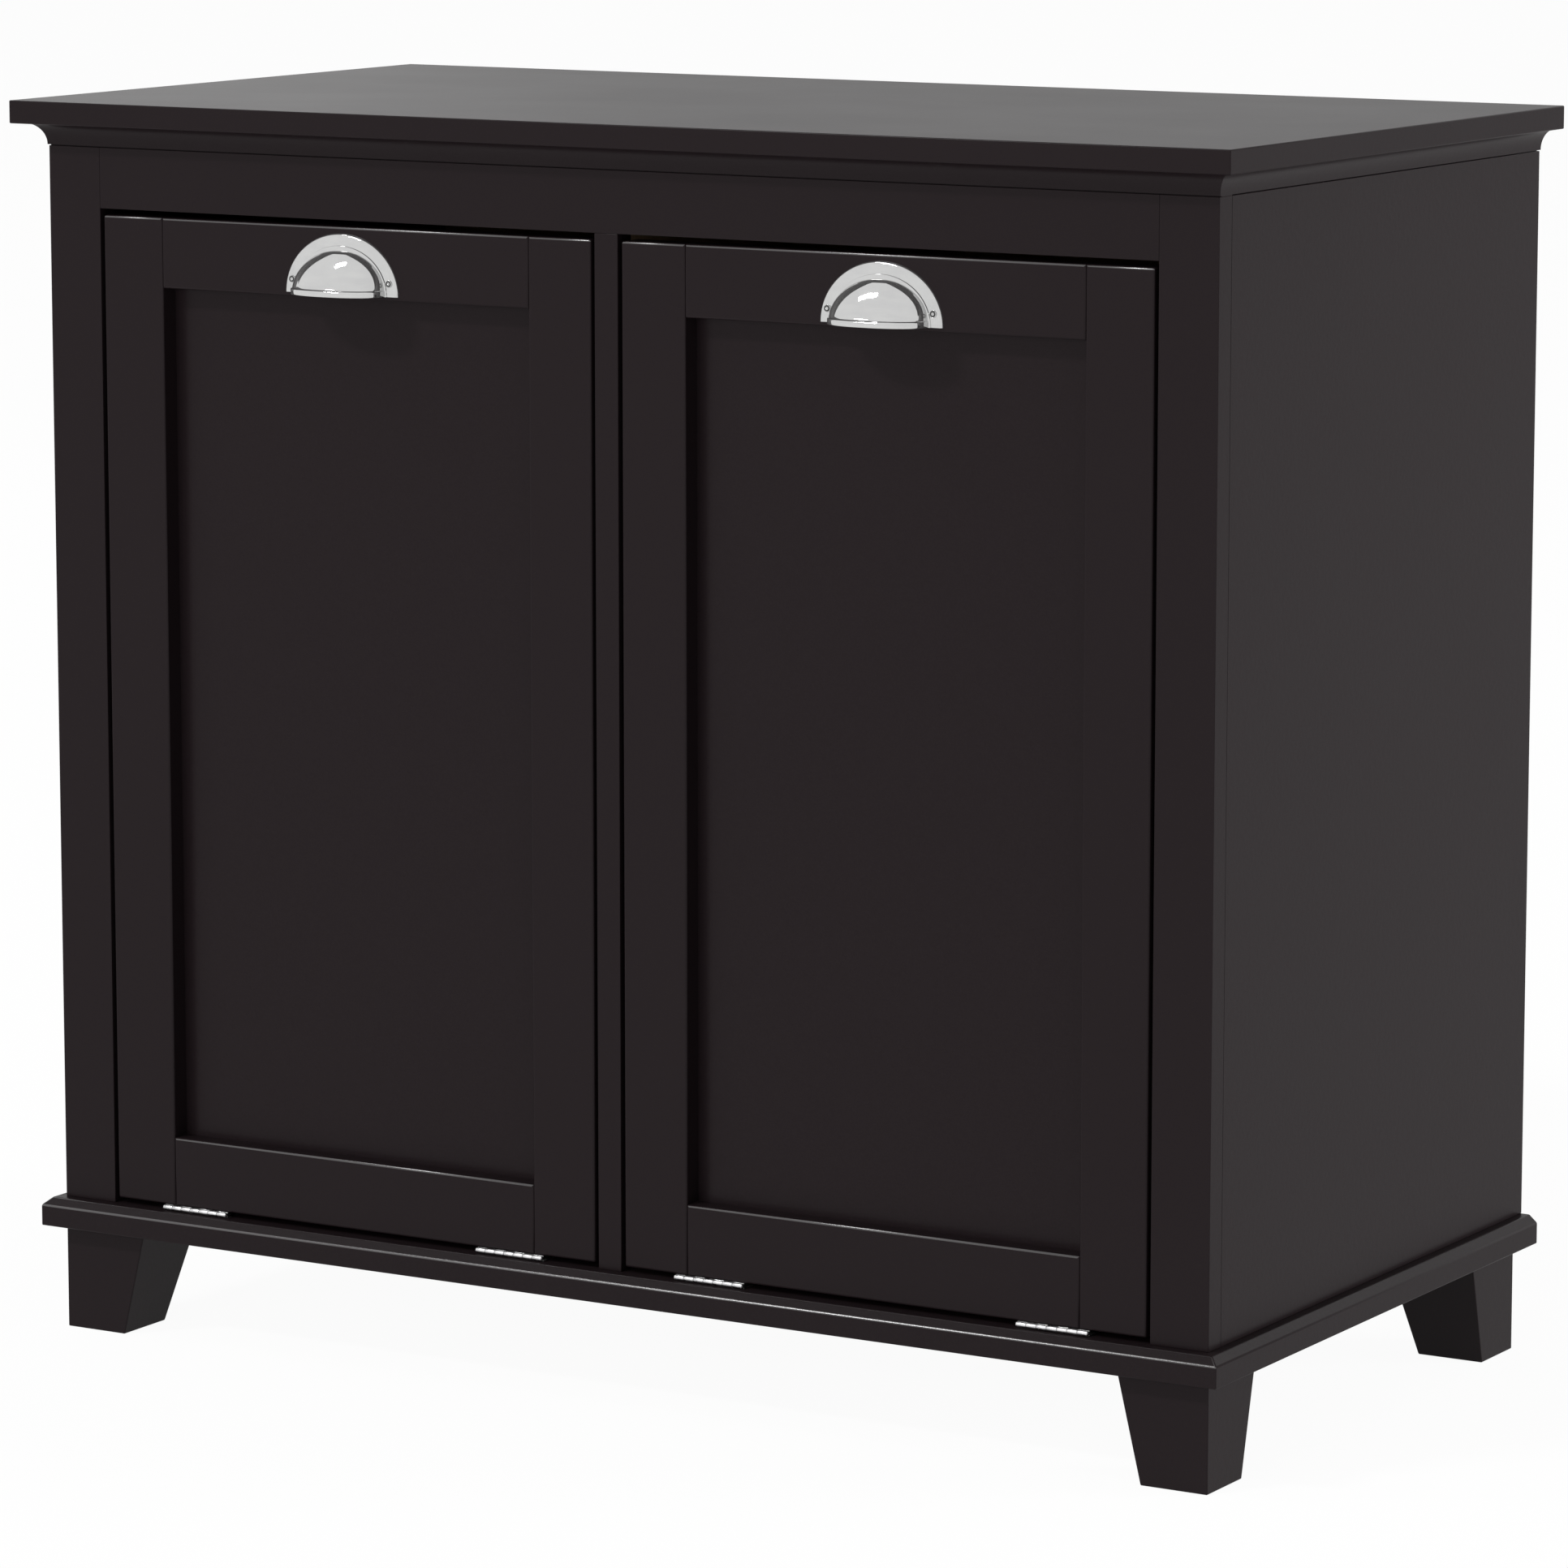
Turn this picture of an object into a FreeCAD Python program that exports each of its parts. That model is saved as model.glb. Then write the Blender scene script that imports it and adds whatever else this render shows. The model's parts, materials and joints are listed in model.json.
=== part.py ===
import FreeCAD, Part
import math
import os

from FreeCAD import Vector

# Laundry cabinet with two tilt-out doors, in millimetres.
# +X runs to the right seen from the front, the doors face -Y and +Z is up.
# The origin is on the floor, at the middle of the whole cabinet's outline.

# Overall sizes
total_height = 818.0
body_width = 856.0
body_depth = 448.0

# Top board
top_thickness = 15.0
top_side_overhang = 17.0
top_front_overhang = 20.0

# Cove moulding under the top board
cove_height = 14.0
cove_reach = 11.8
cove_foot = 0.7

# Carcass boards
side_thickness = 15.0
divider_thickness = 15.0
back_thickness = 5.0
back_rebate = 8.0
back_rail_height = 60.0
back_rail_thickness = 16.0

# Face frame
frame_thickness = 16.0
frame_stile_width = 40.2
frame_rail_height = 54.2
centre_stile_width = 17.0

# Base board with its bevelled edge
base_thickness = 19.0
base_side_overhang = 11.6
base_front_overhang = 12.5
base_bevel_depth = 5.7
base_bevel_height = 5.0

# Legs, square at top and foot, tapered on their two inner faces
leg_height = 70.0
leg_top_width = 63.0
leg_foot_width = 46.0
leg_back_inset = 12.0

# Leg bolts, their heads sunk in the base board
bolt_head_radius = 7.0
bolt_head_height = 5.0
bolt_radius = 4.0
bolt_reach = 45.0

# Dowels that join the upright boards to the base and the top
dowel_radius = 4.0
dowel_in_board = 9.0
dowel_in_upright = 20.0
dowel_inset = 70.0

# Doors: two stiles, two rails and a thin panel let in from behind
door_thickness = 19.0
door_side_gap = 2.8
door_top_gap = 4.2
door_bottom_gap = 3.7
door_stile_width = 46.3
door_rail_width = 45.5
door_panel_thickness = 5.0
door_panel_lap = 8.0
tenon_length = 12.0
tenon_thickness = 6.0
tenon_shoulder = 7.0
tenon_setback = 5.0

# Butt hinges along the foot of each door
hinge_length = 50.0
hinge_inset = 63.6
hinge_stand_out = 1.9
barrel_radius = 1.75
hinge_clearance = 0.3
pin_radius = 0.9
pin_play = 0.05
leaf_thickness = 1.0
leaf_depth = 16.0
knuckle_count = 7
knuckle_gap = 0.2
leaf_screw_spacing = 15.0
leaf_screw_setback = 8.0

# Countersunk screws
screw_radius = 1.2
screw_head_radius = 2.2
screw_head_depth = 1.0
short_screw_length = 10.0
long_screw_length = 34.0

# Cup pulls
pull_half_width = 43.1
pull_height = 38.8
pull_plate_thickness = 2.0
pull_step_half_width = 35.5
pull_step_height = 31.0
pull_step_thickness = 1.0
pull_projection = 25.0
cup_half_width = 33.5
cup_height = 28.5
cup_wall = 1.6
cup_lip_height = 4.3
cup_lip_proud = 0.4
pull_drop = 4.1
pull_screw_spacing = 74.2
pull_screw_rise = 8.4
pull_screw_head_radius = 2.4
pull_screw_head_height = 1.1
pull_screw_length = 12.0

# How far the doors tilt, in degrees
open_angle = 32.0

# Carrier behind each door
arm_thickness = 12.0
arm_side_inset = 28.0
arm_foot_rise = 60.0
arm_foot_depth = 45.0
arm_bend_share = 0.12
stop_gap = 0.3
stop_overlap = 27.0
stop_width = 14.0
arm_clearance = 4.0
arm_rear_height = 45.0
bar_thickness = 18.0
bar_height = 30.0
front_bar_gap = 16.0
bar_screw_inset = 7.0

# Steel angle brackets between the arms and the door
bracket_thickness = 2.0
bracket_height = 16.0
bracket_on_door = 22.0
bracket_on_arm = 30.0
bracket_inset = 60.0

# Laundry bag
cloth_thickness = 2.0
bag_gap = 0.3
bag_floor_rise = 15.0
cuff_drop = 40.0

# Magnetic catches and their strike plates
catch_width = 18.0
catch_depth = 14.0
catch_height = 42.0
catch_drop = 6.0
catch_gap = 0.3
strike_thickness = 1.2
strike_inset = 1.0
strike_width = 15.0

# How far a cut runs past the faces that it goes through
overrun = 5.0

# Depths
front_reach = max(pull_projection, top_front_overhang, base_front_overhang)
front_y = (front_reach - body_depth) / 2
back_y = front_y + body_depth
frame_back_y = front_y + frame_thickness
back_panel_y = back_y - back_thickness
door_back_y = front_y + door_thickness

# Levels
base_top = leg_height + base_thickness
top_bottom = total_height - top_thickness
rail_bottom = top_bottom - frame_rail_height
door_bottom = base_top + door_bottom_gap
door_top = rail_bottom - door_top_gap

# Widths, on the right-hand side
half_body = body_width / 2
opening_outer = half_body - frame_stile_width
opening_inner = centre_stile_width / 2
door_inner = opening_inner + door_side_gap
door_outer = opening_outer - door_side_gap
door_middle = (door_inner + door_outer) / 2

# Hinge axis
axis_y = front_y - hinge_stand_out
axis_z = base_top + barrel_radius + hinge_clearance

# Carrier, on the right-hand side
inner_arm_x = opening_inner + arm_side_inset
outer_arm_x = opening_outer - arm_side_inset
bar_start = inner_arm_x + arm_thickness
bar_end = outer_arm_x - arm_thickness

along_x = Vector(1, 0, 0)
along_y = Vector(0, 1, 0)
along_z = Vector(0, 0, 1)


def block(x_low, x_high, y_low, y_high, z_low, z_high):
    """A board between two opposite corners."""
    corner = Vector(x_low, y_low, z_low)
    return Part.makeBox(x_high - x_low, y_high - y_low, z_high - z_low, corner)


def rod(radius, start, end):
    """A round bar from one point to another."""
    span = end - start
    return Part.makeCylinder(radius, span.Length, start, span)


def bar_along_x(points, x_low, x_high):
    """A straight length along X whose section is given as (y, z) corners."""
    corners = [Vector(x_low, y, z) for y, z in points]
    outline = Part.makePolygon(corners + corners[:1])
    return Part.Face(outline).extrude(along_x * (x_high - x_low))


def cut_by(shape, tools):
    """The shape without the space that each tool takes."""
    for tool in tools:
        shape = shape.cut(tool)
    return shape


def join(shapes):
    """One solid from shapes that touch or cross."""
    whole = shapes[0]
    for shape in shapes[1:]:
        whole = whole.fuse(shape)
    return whole.removeSplitter()


def mirrored(shape):
    """The left-hand twin of a right-hand shape."""
    return shape.mirror(Vector(0, 0, 0), along_x)


def both_sides(shape):
    """A right-hand shape together with its left-hand twin."""
    return [shape, mirrored(shape)]


def countersunk_screw(head, direction, length):
    """A screw whose flat head lies at the point head and that runs along direction."""
    neck = head + direction * screw_head_depth
    cone = Part.makeCone(screw_head_radius, screw_radius, screw_head_depth, head, direction)
    return join([cone, rod(screw_radius, neck, head + direction * length)])


# Top board and cove moulding

def top_board():
    half_width = half_body + top_side_overhang
    board = block(-half_width, half_width, front_y - top_front_overhang, back_y, top_bottom, total_height)
    return cut_by(board, top_dowels())


def cove_section(out):
    """Corners and curve of the cove, as a face in the plane across out."""
    low = top_bottom - cove_height
    hollow = cove_reach - cove_foot
    diagonal_share = 1 - math.sqrt(0.5)

    def at(distance, level):
        return out * distance + along_z * level

    foot = at(cove_foot, low)
    tip = at(cove_reach, top_bottom)
    middle = at(cove_foot + hollow * diagonal_share, top_bottom - cove_height * diagonal_share)
    curve = Part.Arc(foot, middle, tip).toShape()
    straights = Part.makePolygon([tip, at(0, top_bottom), at(0, low), foot])
    return Part.Face(Part.Wire([curve] + straights.Edges))


def mitre(corner_x, turn):
    """A wedge on the far side of the 45 degree line through a front corner of the body."""
    reach = cove_reach + overrun
    points = [
        Vector(corner_x - turn * reach, front_y + reach, 0),
        Vector(corner_x + turn * reach, front_y - reach, 0),
        Vector(corner_x + turn * reach, front_y + reach, 0),
    ]
    wedge = Part.Face(Part.makePolygon(points + points[:1]))
    wedge.translate(along_z * (top_bottom - cove_height - overrun))
    return wedge.extrude(along_z * (cove_height + overrun + overrun))


def cove_front():
    """The cove along the front, mitred at both ends."""
    section = cove_section(-along_y)
    half_length = half_body + cove_reach
    section.translate(Vector(-half_length, front_y, 0))
    length = section.extrude(along_x * (half_length + half_length))
    return cut_by(length, both_sides(mitre(half_body, 1)))


def cove_right():
    """The cove along the right side, mitred at its front end and square at the back."""
    section = cove_section(along_x)
    section.translate(Vector(half_body, front_y - cove_reach, 0))
    length = section.extrude(along_y * (body_depth + cove_reach))
    corner = half_body + cove_reach + overrun
    keep = mitre(half_body, 1)
    behind = block(half_body - overrun, corner, front_y + cove_reach, back_y + overrun,
                   top_bottom - cove_height - overrun, top_bottom + overrun)
    return length.common(keep.fuse(behind))


# Carcass

def back_panel():
    half_width = half_body - side_thickness + back_rebate
    return block(-half_width, half_width, back_panel_y, back_y, base_top, top_bottom)


def side_panel():
    panel = block(half_body - side_thickness, half_body, frame_back_y, back_y, base_top, top_bottom)
    return cut_by(panel, [back_panel()] + base_dowels() + top_dowels())


def centre_divider():
    half = divider_thickness / 2
    panel = block(-half, half, frame_back_y, back_panel_y, base_top, top_bottom)
    return cut_by(panel, base_dowels() + top_dowels())


def back_rail():
    """The rail under the top at the back of the right-hand compartment."""
    return block(divider_thickness / 2, half_body - side_thickness,
                 back_panel_y - back_rail_thickness, back_panel_y,
                 top_bottom - back_rail_height, top_bottom)


def dowel_places():
    """Where the dowels stand, seen from above."""
    side_x = half_body - side_thickness / 2
    places = []
    for x in (-side_x, 0, side_x):
        places.append((x, front_y + dowel_inset))
        places.append((x, back_y - dowel_inset))
    return places


def base_dowels():
    return [rod(dowel_radius, Vector(x, y, base_top - dowel_in_board), Vector(x, y, base_top + dowel_in_upright))
            for x, y in dowel_places()]


def top_dowels():
    return [rod(dowel_radius, Vector(x, y, top_bottom - dowel_in_upright), Vector(x, y, top_bottom + dowel_in_board))
            for x, y in dowel_places()]


# Face frame

def frame_stile():
    return block(opening_outer, half_body, front_y, frame_back_y, base_top, top_bottom)


def frame_top_rail():
    return block(-opening_outer, opening_outer, front_y, frame_back_y, rail_bottom, top_bottom)


def frame_centre_stile():
    return block(-opening_inner, opening_inner, front_y, frame_back_y, base_top, rail_bottom)


# Base board and legs

def base_bevel(edge, x_low, x_high):
    """What the bevel takes off an edge that runs along X, its outside towards -Y."""
    points = [
        (edge, base_top - base_bevel_height),
        (edge + base_bevel_depth, base_top),
        (edge - overrun, base_top + overrun),
    ]
    return bar_along_x(points, x_low, x_high)


def base_board():
    half_width = half_body + base_side_overhang
    board = block(-half_width, half_width, front_y - base_front_overhang, back_y, leg_height, base_top)
    reach = half_width + overrun
    front_bevel = base_bevel(front_y - base_front_overhang, -reach, reach)
    side_bevel = base_bevel(-half_width, -body_depth, body_depth)
    side_bevel.rotate(Vector(0, 0, 0), along_z, 90)
    board = cut_by(board, [front_bevel] + both_sides(side_bevel))
    return cut_by(board, base_dowels() + leg_bolts() + base_leaf_screws())


def square(outer_x, outer_y, into, width, level):
    """A level square with one corner given; into is +1 or -1, the way it runs along Y."""
    corners = [
        Vector(outer_x, outer_y, level),
        Vector(outer_x - width, outer_y, level),
        Vector(outer_x - width, outer_y + into * width, level),
        Vector(outer_x, outer_y + into * width, level),
    ]
    return Part.makePolygon(corners + corners[:1])


def leg(outer_y, into):
    """A right-hand leg; its two outer faces are upright and its two inner faces taper."""
    foot = square(half_body, outer_y, into, leg_foot_width, 0)
    head = square(half_body, outer_y, into, leg_top_width, leg_height)
    return cut_by(Part.makeLoft([foot, head], True, True), leg_bolts())


def leg_bolts():
    """A bolt down through the base board into each leg."""
    x = half_body - leg_top_width / 2
    bolts = []
    for y in (front_y + leg_top_width / 2, back_y - leg_back_inset - leg_top_width / 2):
        top = Vector(x, y, base_top)
        neck = top - along_z * bolt_head_height
        head = rod(bolt_head_radius, neck, top)
        shank = rod(bolt_radius, Vector(x, y, leg_height - bolt_reach), neck)
        bolts += both_sides(join([head, shank]))
    return bolts


# Doors: right-hand door, the left one is its mirror image

def door_panel():
    return block(door_inner + door_stile_width - door_panel_lap,
                 door_outer - door_stile_width + door_panel_lap,
                 door_back_y - door_panel_thickness, door_back_y,
                 door_bottom + door_rail_width - door_panel_lap,
                 door_top - door_rail_width + door_panel_lap)


def door_rail(low):
    """A rail whose lower edge is at the level low, with a tenon on each end."""
    start = door_inner + door_stile_width
    end = door_outer - door_stile_width
    tenon_front = front_y + tenon_setback
    body = block(start, end, front_y, door_back_y, low, low + door_rail_width)
    tenon = block(start - tenon_length, end + tenon_length, tenon_front, tenon_front + tenon_thickness,
                  low + tenon_shoulder, low + door_rail_width - tenon_shoulder)
    return cut_by(join([body, tenon]), [door_panel()])


def door_bottom_rail():
    return cut_by(door_rail(door_bottom), door_leaf_screws())


def door_top_rail():
    return cut_by(door_rail(door_top - door_rail_width), pull_screws())


def door_stile(inner_edge, others):
    """A stile from its inner edge, mortised for the rails and let in for the others."""
    stile = block(inner_edge, inner_edge + door_stile_width, front_y, door_back_y, door_bottom, door_top)
    rails = [door_rail(door_bottom), door_rail(door_top - door_rail_width)]
    return cut_by(stile, rails + [door_panel()] + others)


def inner_stile():
    return door_stile(door_inner, bracket_screws() + door_leaf_screws())


def outer_stile():
    return door_stile(door_outer - door_stile_width, bracket_screws() + door_leaf_screws())


# Hinges

def hinge_middles():
    return [door_inner + hinge_inset, door_outer - hinge_inset]


def knuckle(middle, index, radius, spare):
    """One knuckle's round outside, longer by spare at each end."""
    pitch = hinge_length / knuckle_count
    start = middle - hinge_length / 2 + index * pitch + knuckle_gap / 2 - spare
    end = start + pitch - knuckle_gap + spare + spare
    return rod(radius, Vector(start, axis_y, axis_z), Vector(end, axis_y, axis_z))


def hinge_leaf(middle, low, parity, screws):
    """A flat leaf with every other knuckle; parity says which ones it carries."""
    half = hinge_length / 2
    leaf = block(middle - half, middle + half, axis_y, axis_y + leaf_depth, low, low + leaf_thickness)
    own = [knuckle(middle, i, barrel_radius, 0) for i in range(parity, knuckle_count, 2)]
    others = [knuckle(middle, i, barrel_radius + hinge_clearance, knuckle_gap)
              for i in range(1 - parity, knuckle_count, 2)]
    bore = rod(pin_radius + pin_play, Vector(middle - hinge_length, axis_y, axis_z),
               Vector(middle + hinge_length, axis_y, axis_z))
    return cut_by(join([cut_by(leaf, others)] + own), [bore] + screws)


def base_leaves():
    """The leaves on the base board; they carry the first and last knuckles."""
    leaves = []
    for middle in hinge_middles():
        leaves += both_sides(hinge_leaf(middle, base_top, 0, base_leaf_screws()))
    return leaves


def door_leaves():
    return [hinge_leaf(middle, door_bottom - leaf_thickness, 1, door_leaf_screws())
            for middle in hinge_middles()]


def hinge_pins():
    pins = []
    for middle in hinge_middles():
        start = Vector(middle - hinge_length / 2, axis_y, axis_z)
        pins += both_sides(rod(pin_radius, start, start + along_x * hinge_length))
    return pins


def leaf_screw_places():
    places = []
    for middle in hinge_middles():
        for step in (-1, 0, 1):
            places.append((middle + step * leaf_screw_spacing, front_y + leaf_screw_setback))
    return places


def base_leaf_screws():
    screws = []
    for x, y in leaf_screw_places():
        head = Vector(x, y, base_top + leaf_thickness)
        screws += both_sides(countersunk_screw(head, -along_z, short_screw_length))
    return screws


def door_leaf_screws():
    return [countersunk_screw(Vector(x, y, door_bottom - leaf_thickness), along_z, short_screw_length)
            for x, y in leaf_screw_places()]


# Cup pulls

def half_disc(half_width, height, low, y_low, y_high):
    """A flat plate whose outline is the upper half of an ellipse."""
    middle = Vector(door_middle, y_low, low)
    side = Vector(door_middle + half_width, y_low, low)
    crown = Vector(door_middle, y_low, low + height)
    if half_width > height:
        curve = Part.Ellipse(side, crown, middle)
    else:
        curve = Part.Ellipse(crown, side, middle)
    disc = Part.Face(Part.Wire(curve.toShape())).extrude(along_y * (y_high - y_low))
    reach = half_width + overrun
    lower_half = block(door_middle - reach, door_middle + reach, y_low - overrun, y_high + overrun,
                       low - height - overrun, low)
    return disc.cut(lower_half)


def lip_band(half_width, projection, low, high):
    """An upright wall with an elliptical plan, in front of the door's face."""
    middle = Vector(door_middle, front_y, low)
    side = Vector(door_middle + half_width, front_y, low)
    tip = Vector(door_middle, front_y - projection, low)
    disc = Part.Face(Part.Wire(Part.Ellipse(side, tip, middle).toShape())).extrude(along_z * (high - low))
    reach = half_width + overrun
    behind = block(door_middle - reach, door_middle + reach, front_y, front_y + reach,
                   low - overrun, high + overrun)
    return disc.cut(behind)


def cup_dome(half_width, projection, height, low):
    """A quarter of an egg shape, round side up and out."""
    quarter = Part.makeSphere(1, Vector(0, 0, 0), along_z, 0, 90, 180)
    quarter.rotate(Vector(0, 0, 0), along_z, 180)
    stretch = FreeCAD.Matrix()
    stretch.scale(half_width, projection, height)
    dome = quarter.transformGeometry(stretch)
    dome.translate(Vector(door_middle, front_y, low))
    return dome


def pull_foot():
    """The level of the pull's straight lower edge."""
    return door_top - pull_drop - pull_height


def cup_pull():
    low = pull_foot()
    lip_top = low + cup_lip_height
    out = pull_projection - cup_lip_proud
    plate = half_disc(pull_half_width, pull_height, low, front_y - pull_plate_thickness, front_y)
    step_y = front_y - pull_plate_thickness - pull_step_thickness
    step = half_disc(pull_step_half_width, pull_step_height, low, step_y, front_y)
    lip = lip_band(cup_half_width + cup_lip_proud, pull_projection, low, lip_top)
    dome = cup_dome(cup_half_width, out, cup_height - cup_lip_height, lip_top)
    inner_width = cup_half_width - cup_wall
    inner_out = out - cup_wall
    pocket = [
        lip_band(inner_width, inner_out, low - overrun, lip_top),
        cup_dome(inner_width, inner_out, cup_height - cup_lip_height - cup_wall, lip_top),
    ]
    return cut_by(join([plate, step, lip, dome]), pocket + pull_screws())


def pull_screws():
    """Round-headed screws through the plate into the door's top rail."""
    screws = []
    for turn in (-1, 1):
        x = door_middle + turn * pull_screw_spacing / 2
        seat = Vector(x, front_y - pull_plate_thickness, pull_foot() + pull_screw_rise)
        shank = rod(screw_radius, seat, seat + along_y * pull_screw_length)
        head = rod(pull_screw_head_radius, seat - along_y * pull_screw_head_height, seat)
        screws.append(join([head, shank]))
    return screws


# Carrier behind the door

def tilted_back(depth, rise):
    """Where a point of the fully open carrier lies when the door is shut."""
    angle = math.radians(open_angle)
    y = depth * math.cos(angle) + rise * math.sin(angle)
    z = rise * math.cos(angle) - depth * math.sin(angle)
    return axis_y + y, axis_z + z


# Open, the stop's front edge stands upright just behind the frame's top rail
stop_depth = frame_back_y - axis_y + stop_gap
rail_rise = rail_bottom - axis_z
root_rise = math.sqrt((rail_rise - arm_clearance) ** 2 - stop_depth ** 2)
stop_root = tilted_back(stop_depth, root_rise)
stop_tip = tilted_back(stop_depth, rail_rise + stop_overlap)
stop_heel = tilted_back(stop_depth + stop_width, rail_rise + stop_overlap)
arm_top = stop_root[1]
front_bar_y = door_back_y + front_bar_gap
rear_bar_y = stop_root[0] - bar_thickness - arm_clearance


def arm(x_low, screws):
    """A side arm: flat on the door in front, a stop at its rear top corner."""
    rear = (stop_heel[0], arm_top - arm_rear_height)
    toe = (door_back_y + arm_foot_depth, axis_z + arm_foot_rise)
    bend_y = (rear[0] + toe[0]) / 2 - arm_bend_share * (rear[1] - toe[1])
    bend_z = (rear[1] + toe[1]) / 2 + arm_bend_share * (rear[0] - toe[0])
    corners = [rear, stop_heel, stop_tip, stop_root, (door_back_y, arm_top), (door_back_y, toe[1]), toe]
    points = [Vector(x_low, y, z) for y, z in corners]
    straights = Part.makePolygon(points)
    curve = Part.Arc(points[-1], Vector(x_low, bend_y, bend_z), points[0]).toShape()
    board = Part.Face(Part.Wire(straights.Edges + [curve])).extrude(along_x * arm_thickness)
    return cut_by(board, screws)


def inner_arm():
    return arm(inner_arm_x, bar_screws() + bracket_screws())


def outer_arm():
    return arm(bar_end, bar_screws() + bracket_screws())


def cross_bar(y_low):
    bar = block(bar_start, bar_end, y_low, y_low + bar_thickness, arm_top - bar_height, arm_top)
    return cut_by(bar, bar_screws())


def bar_screws():
    """Two screws through each arm into each end of both bars."""
    screws = []
    for y_low in (front_bar_y, rear_bar_y):
        y = y_low + bar_thickness / 2
        for z in (arm_top - bar_screw_inset, arm_top - bar_height + bar_screw_inset):
            screws.append(countersunk_screw(Vector(inner_arm_x, y, z), along_x, long_screw_length))
            screws.append(countersunk_screw(Vector(outer_arm_x, y, z), -along_x, long_screw_length))
    return screws


def bracket_seats():
    """Each bracket's corner on its arm, and the way it points along X."""
    heights = (axis_z + arm_foot_rise + bracket_inset, arm_top - bracket_inset - bar_height)
    seats = []
    for middle in heights:
        seats.append((inner_arm_x, -1, middle))
        seats.append((outer_arm_x, 1, middle))
    return seats


def bracket_screws():
    screws = []
    for x, away, middle in bracket_seats():
        on_door = Vector(x + away * bracket_on_door / 2, door_back_y + bracket_thickness, middle)
        on_arm = Vector(x + away * bracket_thickness, door_back_y + bracket_on_arm / 2, middle)
        screws.append(countersunk_screw(on_door, -along_y, short_screw_length))
        screws.append(countersunk_screw(on_arm, -along_x * away, short_screw_length))
    return screws


def arm_brackets():
    brackets = []
    for x, away, middle in bracket_seats():
        low = middle - bracket_height / 2
        high = middle + bracket_height / 2
        far = x + away * bracket_on_door
        near = x + away * bracket_thickness
        door_leg = block(min(x, far), max(x, far), door_back_y, door_back_y + bracket_thickness, low, high)
        arm_leg = block(min(x, near), max(x, near), door_back_y, door_back_y + bracket_on_arm, low, high)
        brackets.append(cut_by(join([door_leg, arm_leg]), bracket_screws()))
    return brackets


# Laundry bag: an open-topped tub of cloth, its cuff turned down over the arms and bars

def laundry_bag():
    x_low = bar_start + bag_gap
    x_high = bar_end - bag_gap
    y_low = front_bar_y + bar_thickness + bag_gap
    y_high = rear_bar_y - bag_gap
    z_low = base_top + bag_floor_rise
    hem = arm_top + bag_gap
    z_high = hem + cloth_thickness
    skirt_low = arm_top - cuff_drop
    skin = bag_gap + cloth_thickness
    tub = block(x_low, x_high, y_low, y_high, z_low, z_high)
    inside = block(x_low + cloth_thickness, x_high - cloth_thickness, y_low + cloth_thickness,
                   y_high - cloth_thickness, z_low + cloth_thickness, z_high + overrun)
    inner_x = inner_arm_x - skin
    outer_x = outer_arm_x + skin
    front = front_bar_y - skin
    rear = rear_bar_y + bar_thickness + skin
    cuff = [
        block(inner_x, outer_x, y_low, y_high, hem, z_high),
        block(x_low, x_high, front, rear, hem, z_high),
        block(inner_x, inner_x + cloth_thickness, y_low, y_high, skirt_low, z_high),
        block(outer_x - cloth_thickness, outer_x, y_low, y_high, skirt_low, z_high),
        block(x_low, x_high, front, front + cloth_thickness, skirt_low, z_high),
        block(x_low, x_high, rear - cloth_thickness, rear, skirt_low, z_high),
    ]
    return join([tub] + cuff).cut(inside)


# Catches

def strike_plate():
    x_low = door_inner + strike_inset
    high = rail_bottom - catch_drop
    return block(x_low, x_low + strike_width, door_back_y, door_back_y + strike_thickness,
                 high - catch_height, high)


def magnetic_catch():
    """A magnet block on the divider, just behind the door's strike plate."""
    x_low = divider_thickness / 2
    y_low = door_back_y + strike_thickness + catch_gap
    high = rail_bottom - catch_drop
    return block(x_low, x_low + catch_width, y_low, y_low + catch_depth, high - catch_height, high)


def cabinet_nodes():
    """Every piece of the standing cabinet, by name."""
    front_leg = leg(front_y, 1)
    back_leg = leg(back_y - leg_back_inset, -1)
    return {
        "top_board": top_board(),
        "cove_front": cove_front(),
        "cove_left": mirrored(cove_right()),
        "cove_right": cove_right(),
        "frame_stile_left": mirrored(frame_stile()),
        "frame_stile_right": frame_stile(),
        "frame_top_rail": frame_top_rail(),
        "frame_centre_stile": frame_centre_stile(),
        "side_panel_left": mirrored(side_panel()),
        "side_panel_right": side_panel(),
        "back_panel": back_panel(),
        "centre_divider": centre_divider(),
        "back_rails": Part.makeCompound(both_sides(back_rail())),
        "base_board": base_board(),
        "leg_front_left": mirrored(front_leg),
        "leg_front_right": front_leg,
        "leg_back_left": mirrored(back_leg),
        "leg_back_right": back_leg,
        "leg_bolts": Part.makeCompound(leg_bolts()),
        "carcass_dowels": Part.makeCompound(base_dowels() + top_dowels()),
        "magnetic_catches": Part.makeCompound(both_sides(magnetic_catch())),
        "hinge_base_leaves": Part.makeCompound(base_leaves()),
        "hinge_pins": Part.makeCompound(hinge_pins()),
        "hinge_base_screws": Part.makeCompound(base_leaf_screws()),
    }


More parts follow.
